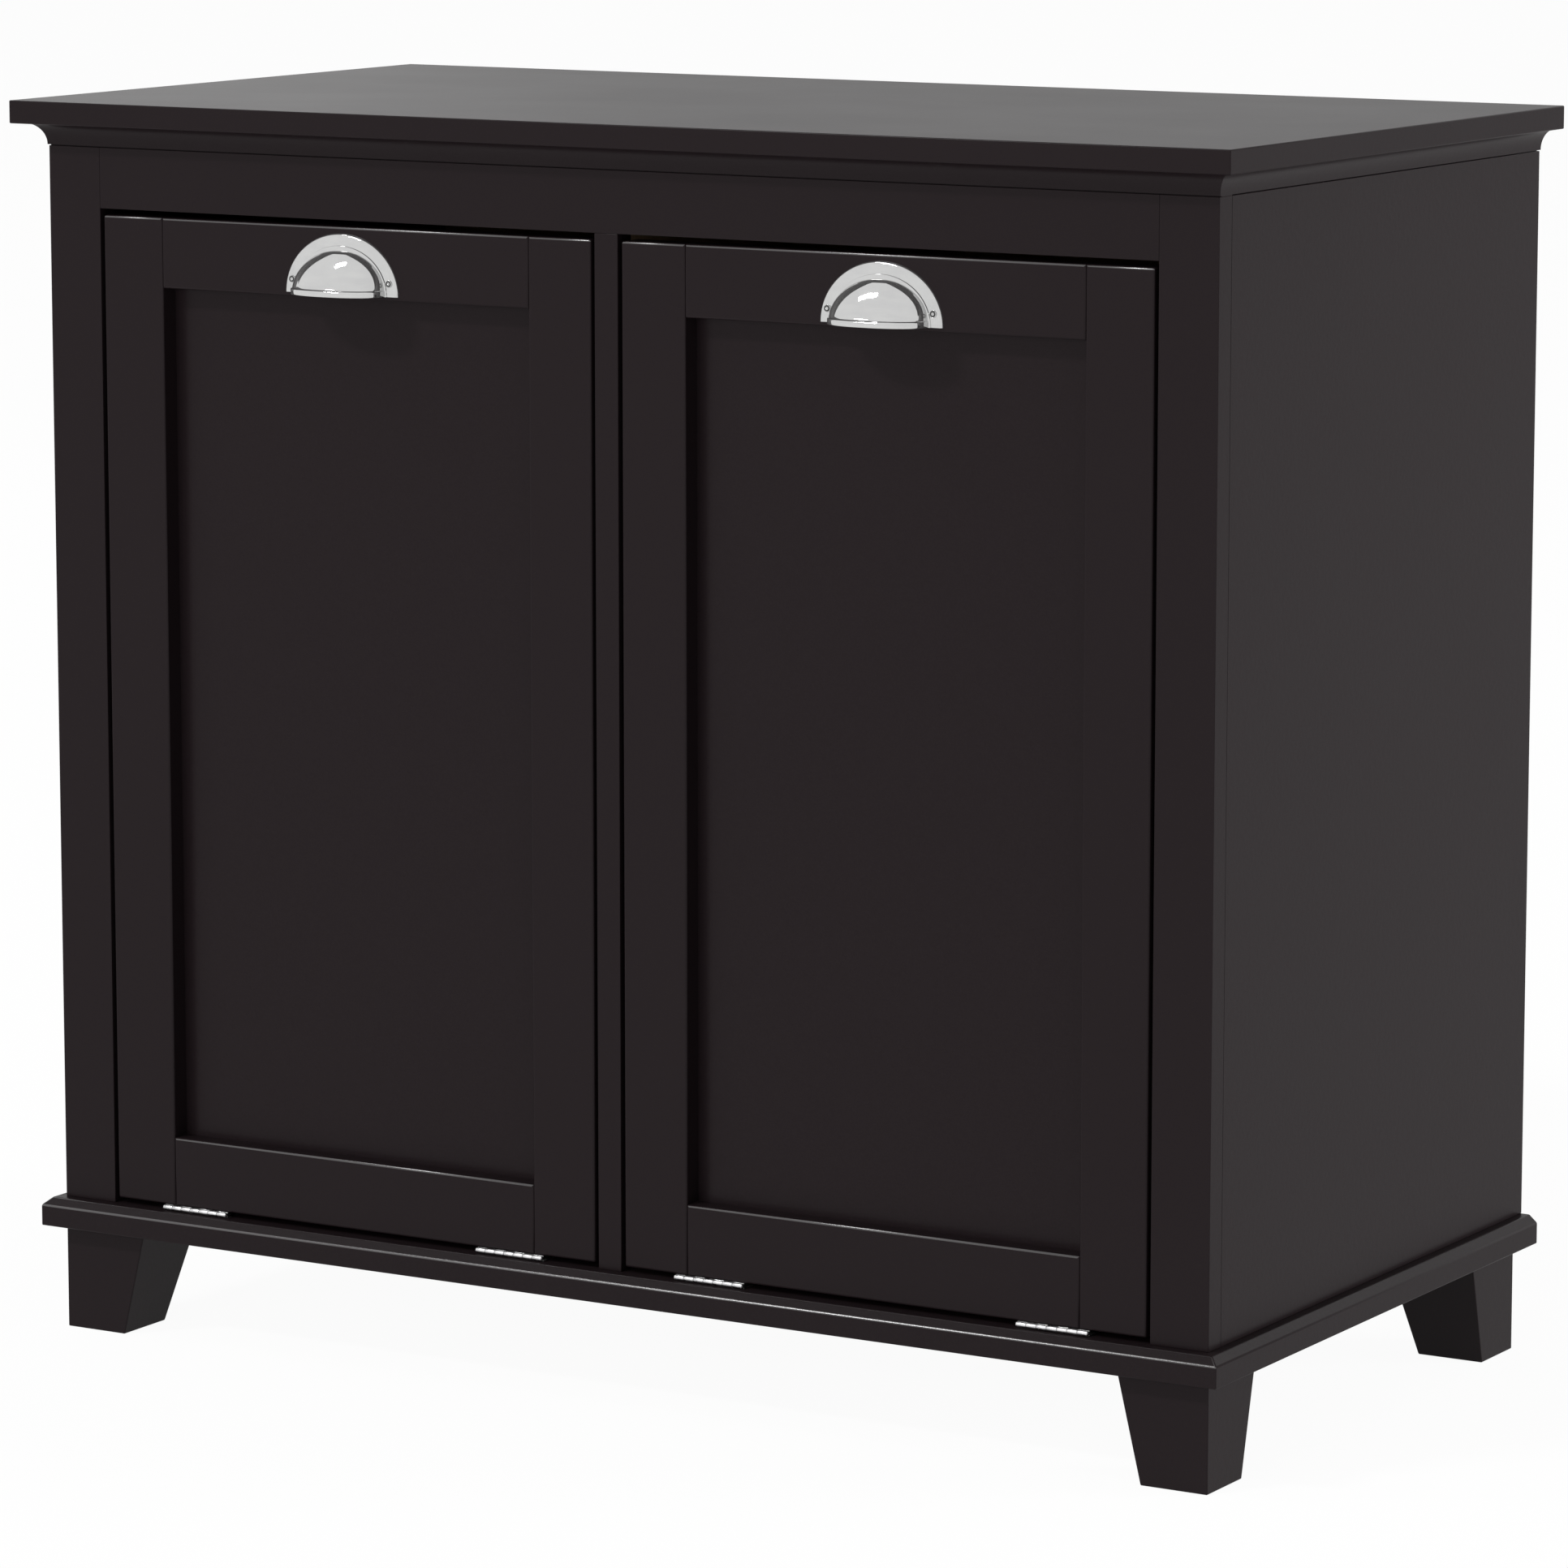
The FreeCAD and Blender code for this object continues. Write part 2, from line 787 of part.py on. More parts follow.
def door_nodes():
    """Every piece that tilts with the right-hand door, by name."""
    return {
        "door_inner_stile": inner_stile(),
        "door_outer_stile": outer_stile(),
        "door_top_rail": door_top_rail(),
        "door_bottom_rail": door_bottom_rail(),
        "door_panel": door_panel(),
        "cup_pull": cup_pull(),
        "pull_screws": Part.makeCompound(pull_screws()),
        "hinge_door_leaves": Part.makeCompound(door_leaves()),
        "hinge_door_screws": Part.makeCompound(door_leaf_screws()),
        "strike_plate": strike_plate(),
        "carrier_inner_arm": inner_arm(),
        "carrier_outer_arm": outer_arm(),
        "carrier_front_bar": cross_bar(front_bar_y),
        "carrier_rear_bar": cross_bar(rear_bar_y),
        "carrier_screws": Part.makeCompound(bar_screws()),
        "arm_brackets": Part.makeCompound(arm_brackets()),
        "bracket_screws": Part.makeCompound(bracket_screws()),
        "laundry_bag": laundry_bag(),
    }


def main():
    os.makedirs("parts", exist_ok=True)
    nodes = cabinet_nodes()
    for name, shape in door_nodes().items():
        nodes["right_" + name] = shape
        nodes["left_" + name] = mirrored(shape)
    for name, shape in nodes.items():
        shape.exportStep("parts/" + name + ".step")
        box = shape.BoundBox
        print(name, len(shape.Solids), shape.isValid(),
              "%.1f %.1f %.1f %.1f %.1f %.1f" % (box.XMin, box.XMax, box.YMin, box.YMax, box.ZMin, box.ZMax))


main()
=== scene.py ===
import json
import math

import bmesh
import bpy
from mathutils import Matrix, Vector, noise


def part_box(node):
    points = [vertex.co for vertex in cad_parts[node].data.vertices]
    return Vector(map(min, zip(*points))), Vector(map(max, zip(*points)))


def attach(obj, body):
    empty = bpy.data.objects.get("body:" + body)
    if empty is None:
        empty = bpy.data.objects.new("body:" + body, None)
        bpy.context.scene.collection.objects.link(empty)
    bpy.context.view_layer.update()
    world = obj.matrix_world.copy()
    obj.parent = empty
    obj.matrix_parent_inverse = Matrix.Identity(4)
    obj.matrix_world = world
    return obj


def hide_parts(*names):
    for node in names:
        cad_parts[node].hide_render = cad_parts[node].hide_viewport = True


# A double tilt-out laundry cabinet: painted boards, polished cup pulls, steel
# hinges, and a wooden carrier with a canvas bag behind each door. Metres.
# +X runs to the right seen from the front, the doors face -Y and +Z is up.

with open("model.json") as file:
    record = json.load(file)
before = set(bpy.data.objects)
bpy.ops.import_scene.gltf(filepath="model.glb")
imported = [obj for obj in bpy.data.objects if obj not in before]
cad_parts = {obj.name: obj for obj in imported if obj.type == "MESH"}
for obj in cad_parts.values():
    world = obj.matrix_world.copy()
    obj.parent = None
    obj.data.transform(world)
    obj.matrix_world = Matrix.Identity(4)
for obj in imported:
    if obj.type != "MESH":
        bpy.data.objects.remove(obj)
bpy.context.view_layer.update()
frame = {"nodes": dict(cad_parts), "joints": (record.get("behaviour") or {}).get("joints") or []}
scene = bpy.context.scene

origin = Vector((0, 0, 0))
along_x = Vector((1, 0, 0))
along_y = Vector((0, 1, 0))
along_z = Vector((0, 0, 1))
hands = (("right", 1), ("left", -1))

# Camera, at the photograph's viewing angle
photo_size = 1932
sensor_width = 36.0
focal_pixels = 8671.0
camera_place = Vector((2.3315, -3.9088, 1.1089))
camera_turn = math.radians(30.784)
camera_dip = math.radians(9.184)

# Floor and room
floor_reach = 40.0
floor_glow_share = 0.95
room_light = 0.4

# Lamps: name, place, aim, width, height, power, shape, whether gloss shows it.
# The two far ones give the pulls' highlights and the light lines on the edges.
pull_level = (0, -0.23, 0.72)
lamps = (
    ("overhead", (-10.39, -5.63, 16.93), pull_level, 1.93, 0.48, 219, "RECTANGLE", True),
    ("front_high", (-7.81, -13.05, 13.94), pull_level, 3.8, 1.42, 1689, "RECTANGLE", True),
    ("low_left_back", (-3.79, 3.26, 2.16), (0, 0, 0.82), 2.8, 3.0, 8.4, "ELLIPSE", True),
    ("high_back", (0.9, 4.2, 2.7), (0.44, 0, 0.09), 1.5, 1.5, 9, "RECTANGLE", True),
    ("front", (-0.6, -5.2, 1.2), (0, -0.2, 0.4), 3.0, 2.0, 110, "RECTANGLE", False),
    ("right", (5.0, 2.2, 1.2), (0.43, 0, 0.4), 2.0, 2.0, 210, "RECTANGLE", False),
)

# A crease angle that smooths every edge
all_smooth = 180

# Rounding of the painted boards' edges, and which of the rounded faces are rubbed bright
arris = 0.0008
frame_arris = 0.0004
door_arris = 0.0014
hidden_arris = 0.0006
rubbed_forward = 0.5
rubbed_upward = 0.1

# Cove moulding
cove_height = 0.014
cove_reach = 0.0118
cove_foot = 0.0007
cove_steps = 14
cove_crease = 40
shadow_gap = 0.0007
rebate_depth = 0.002

# Base board's bevelled edge
base_bevel_depth = 0.0057
base_bevel_height = 0.005

# Legs
leg_foot_width = 0.046

# Doors
door_stile_width = 0.0463
door_rail_width = 0.0455

# Butt hinges
hinge_length = 0.050
hinge_inset = 0.0636
barrel_radius = 0.00175
knuckle_count = 7
knuckle_gap = 0.0002
leaf_thickness = 0.001
leaf_depth = 0.016
leaf_screw_spacing = 0.015
leaf_screw_setback = 0.008
barrel_turns = 32

# Cup pulls
pull_half_width = 0.0431
pull_height = 0.0388
pull_plate = 0.002
pull_step = 0.001
step_half_width = 0.0355
step_height = 0.031
cup_half_width = 0.0336
cup_reach = 0.0246
cup_height = 0.0285
cup_shoulder_radius = 0.0077
cup_shoulder_turn = math.radians(48.5)
cup_front_reach = 0.0224
cup_fullness = 2.5
cup_top_fullness = 2.9
cup_wall = 0.0016
cup_lip = 0.0043
cup_groove = 0.0003
cup_turns = 96
cup_steps = 20
cup_crease = 50
plate_crease = 28
pull_drop = 0.0041
pull_screw_spacing = 0.0742
pull_screw_rise = 0.0084
pull_screw_radius = 0.0024
pull_screw_height = 0.0012

# Screws and bolts
screw_radius = 0.0022
small_screw_radius = 0.00176
screw_proud = 0.0003
screw_turns = 28
head_twist = 0.9
recess_waist = 0.45
recess_lobe = 0.85
bolt_radius = 0.007
flat_head = ((0, 0.0), (0.30, 0.10), (0.42, 0.9), (0.46, 1.0), (0.75, 0.9), (0.97, 0.4), (1.0, -1.0), (0, -2.0))
button_head = ((0, 0.70), (0.13, 0.74), (0.20, 0.98), (0.26, 1.0), (0.40, 0.96), (0.48, 0.84), (0.64, 0.02),
               (0.70, 0.02), (0.84, 0.84), (0.92, 0.80), (1.0, 0.05), (1.0, -0.3), (0, -0.5))
# The button heads' groove ring, as shares of the radius; its faces carry a near-black painted shade
groove_start = 0.42
groove_end = 0.87

# Carrier: arms, stops and bars
arm_thickness = 0.012
arm_foot_rise = 0.060
arm_foot_depth = 0.045
arm_bend_share = 0.12
stop_gap = 0.0003
stop_overlap = 0.027
stop_width = 0.014
arm_clearance = 0.004
arm_rear_height = 0.045
arm_arris = 0.0012
arm_steps = 24
bar_screw_inset = 0.007

# Angle brackets
bracket_thickness = 0.002
bracket_height = 0.016
bracket_on_door = 0.022
bracket_on_arm = 0.030
bracket_inset = 0.060

# Catches: where the poles stand, as shares of the housing's reach
pole_shares = (0.32, 0.60)

# Laundry bags
cloth_thickness = 0.0016
cloth_gap = 0.0005
cloth_cell = 0.012
bag_corner = 0.024
bag_slack_share = 0.03
cuff_drop = 0.040
cuff_wave = 0.0035
stitch_pitch = 0.0052
stitch_length = 0.0036
stitch_radius = 0.0005
hem_height = 0.012
settle_frames = 26
cloth_settings = {
    "quality": 6, "mass": 0.2, "tension_stiffness": 18, "compression_stiffness": 18, "shear_stiffness": 6,
    "bending_stiffness": 0.35, "vertex_group_mass": "held", "shrink_min": -bag_slack_share, "air_damping": 3,
}

# Folds: how far the walls draw in at half height and at the foot, and how the folds run
waist_draw = 0.010
foot_draw = 0.012
fold_depth = 0.010
folds_round = 3.2
folds_down = 2.2
floor_share = 0.97
floor_lift = 0.006
floor_pitch = 9
ripple_pitch = 14
ripple_mean = 0.55
ripple_swing = 0.9
second_seed = 7.3

# Places read from the frame
joint = {j["name"]: j for j in frame["joints"]}
axis = Vector(joint["right_door_tilt"]["pos_m"])
open_angle = math.radians(joint["right_door_tilt"]["range_deg"][1])
face_low, face_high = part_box("frame_top_rail")
front_y = face_low.y
frame_back_y = face_high.y
rail_bottom = face_low.z
top_bottom = face_high.z
body_low, body_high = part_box("side_panel_right")
half_body = body_high.x
back_y = body_high.y
base_top = body_low.z
door_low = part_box("right_door_inner_stile")[0]
door_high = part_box("right_door_outer_stile")[1]
door_middle = (door_low.x + door_high.x) / 2
door_back_y = door_high.y
hinge_middles = (door_low.x + hinge_inset, door_high.x - hinge_inset)
pull_foot = Vector((door_middle, front_y, door_high.z - pull_drop - pull_height))


# Making and finishing pieces

def box_mesh(low, high):
    """A closed box between two opposite corners."""
    bm = bmesh.new()
    bmesh.ops.create_cube(bm, size=1)
    bmesh.ops.scale(bm, vec=Vector(high) - Vector(low), verts=bm.verts)
    bmesh.ops.translate(bm, vec=(Vector(high) + Vector(low)) / 2, verts=bm.verts)
    return bm


def round_edges(bm, edges, radius, segments=3):
    """Rounds edges and shades only the rounding smooth, so that the flat faces beside it stay flat."""
    made = bmesh.ops.bevel(bm, geom=list(edges), offset=radius, offset_type="OFFSET", segments=segments,
                           profile=0.5, affect="EDGES", clamp_overlap=True, material=-1)
    for face in made["faces"]:
        face.smooth = True


def add_mesh(target, source):
    """Moves what source holds into target."""
    holder = bpy.data.meshes.new("holder")
    source.to_mesh(holder)
    source.free()
    target.from_mesh(holder)
    bpy.data.meshes.remove(holder)


def mirrored_mesh(bm):
    """The left-hand twin of a right-hand mesh, its faces still pointing outwards."""
    twin = bm.copy()
    bmesh.ops.scale(twin, vec=(-1, 1, 1), verts=twin.verts)
    bmesh.ops.reverse_faces(twin, faces=twin.faces)
    return twin


def add_pair(target, source):
    """Moves a right-hand mesh and its left-hand twin into target."""
    twin = mirrored_mesh(source)
    add_mesh(target, source)
    add_mesh(target, twin)


def extruded(corners, way):
    """A solid drawn out one way from a flat outline."""
    bm = bmesh.new()
    outline = bm.faces.new([bm.verts.new(corner) for corner in corners])
    grown = bmesh.ops.extrude_face_region(bm, geom=[outline])
    moved = [item for item in grown["geom"] if isinstance(item, bmesh.types.BMVert)]
    bmesh.ops.translate(bm, vec=way, verts=moved)
    bmesh.ops.recalc_face_normals(bm, faces=bm.faces)
    return bm


def spun(section, axis_way, angle, steps, merge, near):
    """A skin spun about the upright line through the origin, from a section of (distance out, level)."""
    bm = bmesh.new()
    line = [bm.verts.new((out, 0, level)) for out, level in section]
    edges = [bm.edges.new(pair) for pair in zip(line, line[1:])]
    bmesh.ops.spin(bm, geom=line + edges, cent=origin, axis=axis_way, angle=angle, steps=steps, use_merge=merge,
                   use_duplicate=False)
    bmesh.ops.remove_doubles(bm, verts=bm.verts, dist=near)
    return bm


def rub_front_edges(bm):
    """Gives the rounded edges that look up and forward their second finish, the paint rubbed bright."""
    for face in bm.faces:
        face.material_index = int(face.smooth and face.normal.y < -rubbed_forward and face.normal.z > rubbed_upward)


def finished(bm, name, material, body, stands_for=(), crease=None, edges=None, turn=1):
    """A piece from a mesh, dressed and riding on its body.

    A crease angle makes it smooth up to that angle, edges is its second finish,
    and a turn of -1 makes it the left-hand twin of the mesh.
    """
    if turn < 0:
        bm = mirrored_mesh(bm)
    mesh = bpy.data.meshes.new(name)
    bm.to_mesh(mesh)
    bm.free()
    mesh.materials.append(material)
    if edges:
        mesh.materials.append(edges)
    if crease:
        mesh.shade_smooth()
        mesh.set_sharp_from_angle(angle=math.radians(crease))
    piece = bpy.data.objects.new(name, mesh)
    scene.collection.objects.link(piece)
    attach(piece, body)
    if stands_for:
        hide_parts(*stands_for)
    return piece


def rounded_box(low, high, radius, segments=3):
    bm = box_mesh(low, high)
    round_edges(bm, bm.edges, radius, segments)
    return bm


def board(node, name, material, body, radius):
    """A rounded board that fills a node's box and stands for the node."""
    finished(rounded_box(*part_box(node), radius), name, material, body, [node])


# Materials

class Nodes:
    """A material or world under construction, with short ways to add and join its nodes."""

    def __init__(self, owner, slot=None):
        owner.use_nodes = True
        if slot:
            owner["slot"] = slot
        self.owner = owner
        self.tree = owner.node_tree

    def feed(self, node, inputs):
        """Sets a node's sockets, or joins outputs to them; a name's underscores stand for spaces."""
        for key, value in inputs.items():
            socket = node.inputs[key.replace("_", " ") if isinstance(key, str) else key]
            if isinstance(value, bpy.types.NodeSocket):
                self.tree.links.new(value, socket)
            else:
                socket.default_value = value
        return node

    def add(self, kind, **inputs):
        return self.feed(self.tree.nodes.new(kind), inputs)

    def place(self, stretch=(1, 1, 1), output="Object"):
        coordinates = self.add("ShaderNodeTexCoord")
        return self.add("ShaderNodeMapping", Vector=coordinates.outputs[output], Scale=stretch).outputs["Vector"]

    def noise(self, vector, scale, detail=2.0, roughness=0.5):
        node = self.add("ShaderNodeTexNoise", Vector=vector, Scale=scale, Detail=detail, Roughness=roughness)
        return node.outputs["Fac"]

    def wave(self, vector, direction, scale, distortion, detail, detail_scale=1.0):
        node = self.add("ShaderNodeTexWave", Vector=vector, Scale=scale, Distortion=distortion, Detail=detail,
                        Detail_Scale=detail_scale)
        node.bands_direction = direction
        return node.outputs["Fac"]

    def ramp(self, value, stops):
        node = self.add("ShaderNodeValToRGB", Fac=value)
        elements = node.color_ramp.elements
        while len(elements) < len(stops):
            elements.new(0.5)
        for element, (position, colour) in zip(elements, stops):
            element.position = position
            element.color = (*colour, 1)
        return node.outputs["Color"]

    def range(self, value, low, high):
        """A noise's middle range stretched to run from low to high."""
        node = self.add("ShaderNodeMapRange", Value=value, From_Min=0.3, From_Max=0.7, To_Min=low, To_Max=high)
        return node.outputs["Result"]

    def math(self, operation, first, second):
        node = self.add("ShaderNodeMath")
        node.operation = operation
        return self.feed(node, {0: first, 1: second}).outputs["Value"]

    def blend(self, first, second, share):
        """Two values added, the first by its share and the second by the rest."""
        return self.math("ADD", self.math("MULTIPLY", first, share), self.math("MULTIPLY", second, 1 - share))

    def mix(self, factor, first, second, blend_type="MIX"):
        """Two colours mixed."""
        node = self.add("ShaderNodeMix")
        node.data_type = "RGBA"
        node.blend_type = blend_type
        return self.feed(node, {0: factor, 6: first, 7: second}).outputs[2]

    def bump(self, height, distance, strength, **below):
        node = self.add("ShaderNodeBump", Height=height, Strength=strength, Distance=distance, **below)
        return node.outputs["Normal"]

    def set(self, **inputs):
        """Sets the main shader and gives back what was built."""
        self.feed(self.tree.nodes["Principled BSDF"], inputs)
        return self.owner


def new_finish(name, slot):
    return Nodes(bpy.data.materials.new(name), slot)


def satin_paint(name, coat, coat_index):
    """Near-black sprayed paint: a fine speckle, a soft orange peel and an uneven sheen, under a clear coat."""
    m = new_finish(name, "charcoal_paint")
    here = m.place()
    speckle = m.noise(here, 1400, detail=1)
    cloud = m.noise(here, 9, detail=3)
    colour = m.ramp(speckle, [(0.30, (0.0092, 0.0060, 0.0068)), (0.72, (0.0120, 0.0085, 0.0095))])
    peel = m.bump(m.noise(here, 260, detail=2), 0.0006, 0.10)
    grain = m.bump(speckle, 0.0002, 0.12, Normal=peel)
    return m.set(Base_Color=colour, Roughness=m.range(cloud, 0.39, 0.41), Specular_IOR_Level=0.016,
                 Coat_Weight=coat, Coat_IOR=coat_index, Coat_Roughness=0.26, Normal=grain, Coat_Normal=grain)


def wood_grain(m, axis_index, fine, coarse):
    """Fine fibres and a broader wandering figure, both drawn out along one axis."""
    stretch = [1.0, 1.0, 1.0]
    stretch[axis_index] = 0.016
    fibre = m.noise(m.place(stretch), fine, detail=4, roughness=0.6)
    stretch[axis_index] = 0.10
    figure = m.noise(m.place(stretch), coarse, detail=2, roughness=0.4)
    return fibre, figure


def bare_wood(axis_index):
    """Pale birch with its grain along one axis."""
    m = new_finish("birch_along_" + "xyz"[axis_index], "bare_wood")
    fibre, figure = wood_grain(m, axis_index, 520, 30)
    colour = m.ramp(m.blend(fibre, figure, 0.4),
                    [(0.32, (0.41, 0.27, 0.15)), (0.50, (0.52, 0.37, 0.22)), (0.68, (0.59, 0.44, 0.28))])
    return m.set(Base_Color=colour, Roughness=m.range(fibre, 0.52, 0.68), Normal=m.bump(fibre, 0.0004, 0.25))


def plywood():
    """Birch ply cut across X: plain veneer on its faces, layers on its edges."""
    m = new_finish("birch_ply", "bare_wood")
    veneer, figure = wood_grain(m, 2, 480, 24)
    face = m.ramp(m.blend(veneer, figure, 0.45),
                  [(0.34, (0.49, 0.355, 0.215)), (0.52, (0.56, 0.42, 0.27)), (0.70, (0.62, 0.48, 0.325))])
    layers = m.wave(m.place(), "X", 105.0, 0.4, 2.0)
    edge = m.ramp(layers, [(0.30, (0.30, 0.18, 0.09)), (0.62, (0.58, 0.43, 0.27))])
    split = m.add("ShaderNodeSeparateXYZ", Vector=m.add("ShaderNodeTexCoord").outputs["Normal"])
    facing = m.math("GREATER_THAN", m.math("ABSOLUTE", split.outputs["X"], 0.0), 0.7)
    return m.set(Base_Color=m.mix(facing, edge, face), Roughness=m.range(veneer, 0.5, 0.66),
                 Normal=m.bump(veneer, 0.0003, 0.2))


def mottled(name, slot, grain, stops, roughness, bump):
    """A finish with one fine mottle; roughness is from and to, or one value all over."""
    m = new_finish(name, slot)
    mottle = m.noise(m.place(), *grain)
    if isinstance(roughness, tuple):
        roughness = m.range(mottle, *roughness)
    return m.set(Base_Color=m.ramp(mottle, stops), Roughness=roughness, Normal=m.bump(mottle, *bump))


def polished_nickel():
    """Bright plated metal with the faintest smears and hairlines."""
    m = new_finish("polished_nickel", "polished_nickel")
    smear = m.noise(m.place((1, 1, 3)), 60, detail=3)
    hair = m.noise(m.place((40, 2, 900)), 3, detail=2)
    colour = m.ramp(smear, [(0.3, (0.56, 0.56, 0.56)), (0.7, (0.60, 0.60, 0.595))])
    return m.set(Base_Color=colour, Metallic=0.9, Roughness=m.range(smear, 0.015, 0.03),
                 Normal=m.bump(hair, 0.0001, 0.02))


def zinc_steel():
    """Plated steel for hinges, brackets and screws, lightly brushed."""
    m = new_finish("zinc_plated_steel", "bright_steel")
    brush = m.noise(m.place((8, 900, 900)), 1.5, detail=3)
    blotch = m.noise(m.place(), 240, detail=3)
    colour = m.ramp(blotch, [(0.3, (0.58, 0.58, 0.59)), (0.7, (0.70, 0.70, 0.70))])
    return m.set(Base_Color=colour, Metallic=1.0, Roughness=m.range(blotch, 0.24, 0.36),
                 Normal=m.bump(brush, 0.0001, 0.08))


def canvas():
    """Natural cotton canvas: crossed threads, slubs and a soft sheen, laid out on the cloth's own map."""
    m = new_finish("cotton_canvas", "bag_canvas")
    flat = m.place(output="UV")
    weave = m.math("MAXIMUM", *[m.wave(flat, direction, 280.0, 1.2, 1.0, 1.6) for direction in "XY"])
    slub = m.math("MAXIMUM", *[m.noise(m.place(stretch, "UV"), 600) for stretch in ((1, 0.03, 1), (0.03, 1, 1))])
    tone = m.noise(m.place(output="UV"), 12, detail=4)
    colour = m.ramp(m.blend(slub, tone, 0.5), [(0.36, (0.56, 0.49, 0.385)), (0.68, (0.66, 0.59, 0.475))])
    return m.set(Base_Color=m.mix(0.35, colour, weave, "MULTIPLY"), Roughness=0.9, Sheen_Weight=0.25,
                 Sheen_Roughness=0.5, Normal=m.bump(weave, 0.0005, 0.5))


paint = satin_paint("charcoal_satin_paint", 0.16, 1.5)
rubbed_paint = satin_paint("charcoal_paint_rubbed_bright", 1.0, 1.8)
birch = [bare_wood(i) for i in range(3)]
ply = plywood()
nickel = polished_nickel()
steel = zinc_steel()
cloth = canvas()
brown_board = mottled("brown_hardboard", "bare_wood", (700, 4, 0.7),
                      [(0.35, (0.17, 0.105, 0.06)), (0.65, (0.25, 0.16, 0.095))], (0.6, 0.8), (0.0003, 0.2))
black_plastic = mottled("catch_plastic", "catch_plastic", (1600,),
                        [(0.3, (0.022, 0.018, 0.016)), (0.7, (0.032, 0.027, 0.024))], (0.45, 0.6), (0.0002, 0.2))
# Near-black colour on the pull screws' groove ring: painted shade that stands in for the dark ring the groove shows
painted_groove_shade = mottled("screw_groove_painted_shade", "polished_nickel", (1600,),
                    [(0.3, (0.050, 0.050, 0.050)), (0.7, (0.075, 0.075, 0.075))], (0.45, 0.6), (0.0002, 0.2))
thread = mottled("cotton_thread", "bag_canvas", (2600, 1),
                 [(0.3, (0.62, 0.56, 0.46)), (0.7, (0.76, 0.71, 0.62))], 0.8, (0.0002, 0.3))


# Painted carcass

def painted_boards():
    """The plain rounded boards of the painted body."""
    board("top_board", "top_board_painted", paint, "cabinet", arris)
    board("frame_centre_stile", "frame_centre_stile_painted", paint, "cabinet", frame_arris)
    for name in ("frame_stile_left", "frame_stile_right", "frame_top_rail"):
        rebated_board(name, along_y)
    rebated_board("side_panel_left", along_x)
    rebated_board("side_panel_right", -along_x)


def rebated_board(node, inwards):
    """A board whose top is set back behind the cove, which leaves a fine shadow line under the cove."""
    low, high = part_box(node)
    shoulder = top_bottom - cove_height - shadow_gap
    bm = rounded_box(low, (high.x, high.y, shoulder), frame_arris)
    tongue_low = Vector((low.x, low.y, shoulder)) + inwards * (inwards.x + inwards.y > 0) * rebate_depth
    tongue_high = Vector(high) + inwards * (inwards.x + inwards.y < 0) * rebate_depth
    add_mesh(bm, box_mesh(tongue_low, tongue_high))
    finished(bm, node + "_painted", paint, "cabinet", [node])


def inner_boards():
    """The divider, the back and the rear rails."""
    board("centre_divider", "centre_divider_board", birch[2], "cabinet", hidden_arris)
    board("back_panel", "back_panel_board", brown_board, "cabinet", frame_arris)
    low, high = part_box("back_rails")
    divider_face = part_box("centre_divider")[1].x
    both = bmesh.new()
    add_pair(both, rounded_box((divider_face, low.y, low.z), high, hidden_arris))
    finished(both, "back_rails_boards", birch[0], "cabinet", ["back_rails"])


def cove_profile():
    """The cove's section as (distance out, level): a small foot, a hollow quarter round and a thin lip."""
    low = top_bottom - cove_height
    hollow = cove_reach - cove_foot
    points = [(0, low), (cove_foot, low)]
    for i in range(1, cove_steps + 1):
        angle = math.pi / 2 * i / cove_steps
        points.append((cove_foot + hollow * (1 - math.cos(angle)), low + cove_height * math.sin(angle)))
    points.append((0, top_bottom))
    return points


def cove_length(points, start, end, out, start_mitre, end_mitre):
    """A length of cove between two corners of the body; a mitre share of 1 cuts 45 degrees outwards."""
    bm = bmesh.new()
    run = (end - start).normalized()
    rings = []
    for corner, mitre, way in ((start, start_mitre, -1), (end, end_mitre, 1)):
        ring = [bm.verts.new(corner + out * d + run * way * mitre * d + along_z * z) for d, z in points]
        rings.append(ring)
    first = bm.faces.new(rings[0])
    bmesh.ops.bridge_loops(bm, edges=list(first.edges) + list(bm.faces.new(rings[1]).edges))
    bmesh.ops.recalc_face_normals(bm, faces=bm.faces)
    return bm


def coves():
    points = cove_profile()
    corner = Vector((half_body, front_y, 0))
    twin = Vector((-half_body, front_y, 0))
    back = Vector((half_body, back_y, 0))
    front = cove_length(points, twin, corner, -along_y, 1, 1)
    finished(front, "cove_front_moulding", paint, "cabinet", ["cove_front"], crease=cove_crease)
    for side, turn in hands:
        length = cove_length(points, corner, back, along_x, 1, 0)
        name = "cove_" + side
        finished(length, name + "_moulding", paint, "cabinet", [name], crease=cove_crease, turn=turn)


def base_moulding():
    """The base board, bevelled along its front and sides."""
    low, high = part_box("base_board")
    bm = box_mesh(low, high)
    cut = high.z - base_bevel_height
    bmesh.ops.bisect_plane(bm, geom=bm.verts[:] + bm.edges[:] + bm.faces[:], plane_co=(0, 0, cut),
                           plane_no=along_z)
    for v in bm.verts:
        if v.co.z > cut + arris:
            v.co.x -= math.copysign(base_bevel_depth, v.co.x)
            v.co.y += base_bevel_depth if v.co.y < 0 else 0
    round_edges(bm, bm.edges, arris)
    rub_front_edges(bm)
    finished(bm, "base_board_painted", paint, "cabinet", ["base_board"], edges=rubbed_paint)


def legs():
    """Square legs whose two inner faces taper towards the foot."""
    for name in ("leg_front_left", "leg_front_right", "leg_back_left", "leg_back_right"):
        low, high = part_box(name)
        bm = box_mesh(low, high)
        drawn_in = (high.x - low.x) - leg_foot_width
        middle = (low + high) / 2
        for v in bm.verts:
            if v.co.z < middle.z and abs(v.co.x) < abs(middle.x):
                v.co.x += math.copysign(drawn_in, middle.x)
            if v.co.z < middle.z and abs(v.co.y) < abs(middle.y):
                v.co.y += math.copysign(drawn_in, middle.y)
        round_edges(bm, bm.edges, arris)
        finished(bm, name + "_painted", paint, "cabinet", [name])


# Doors

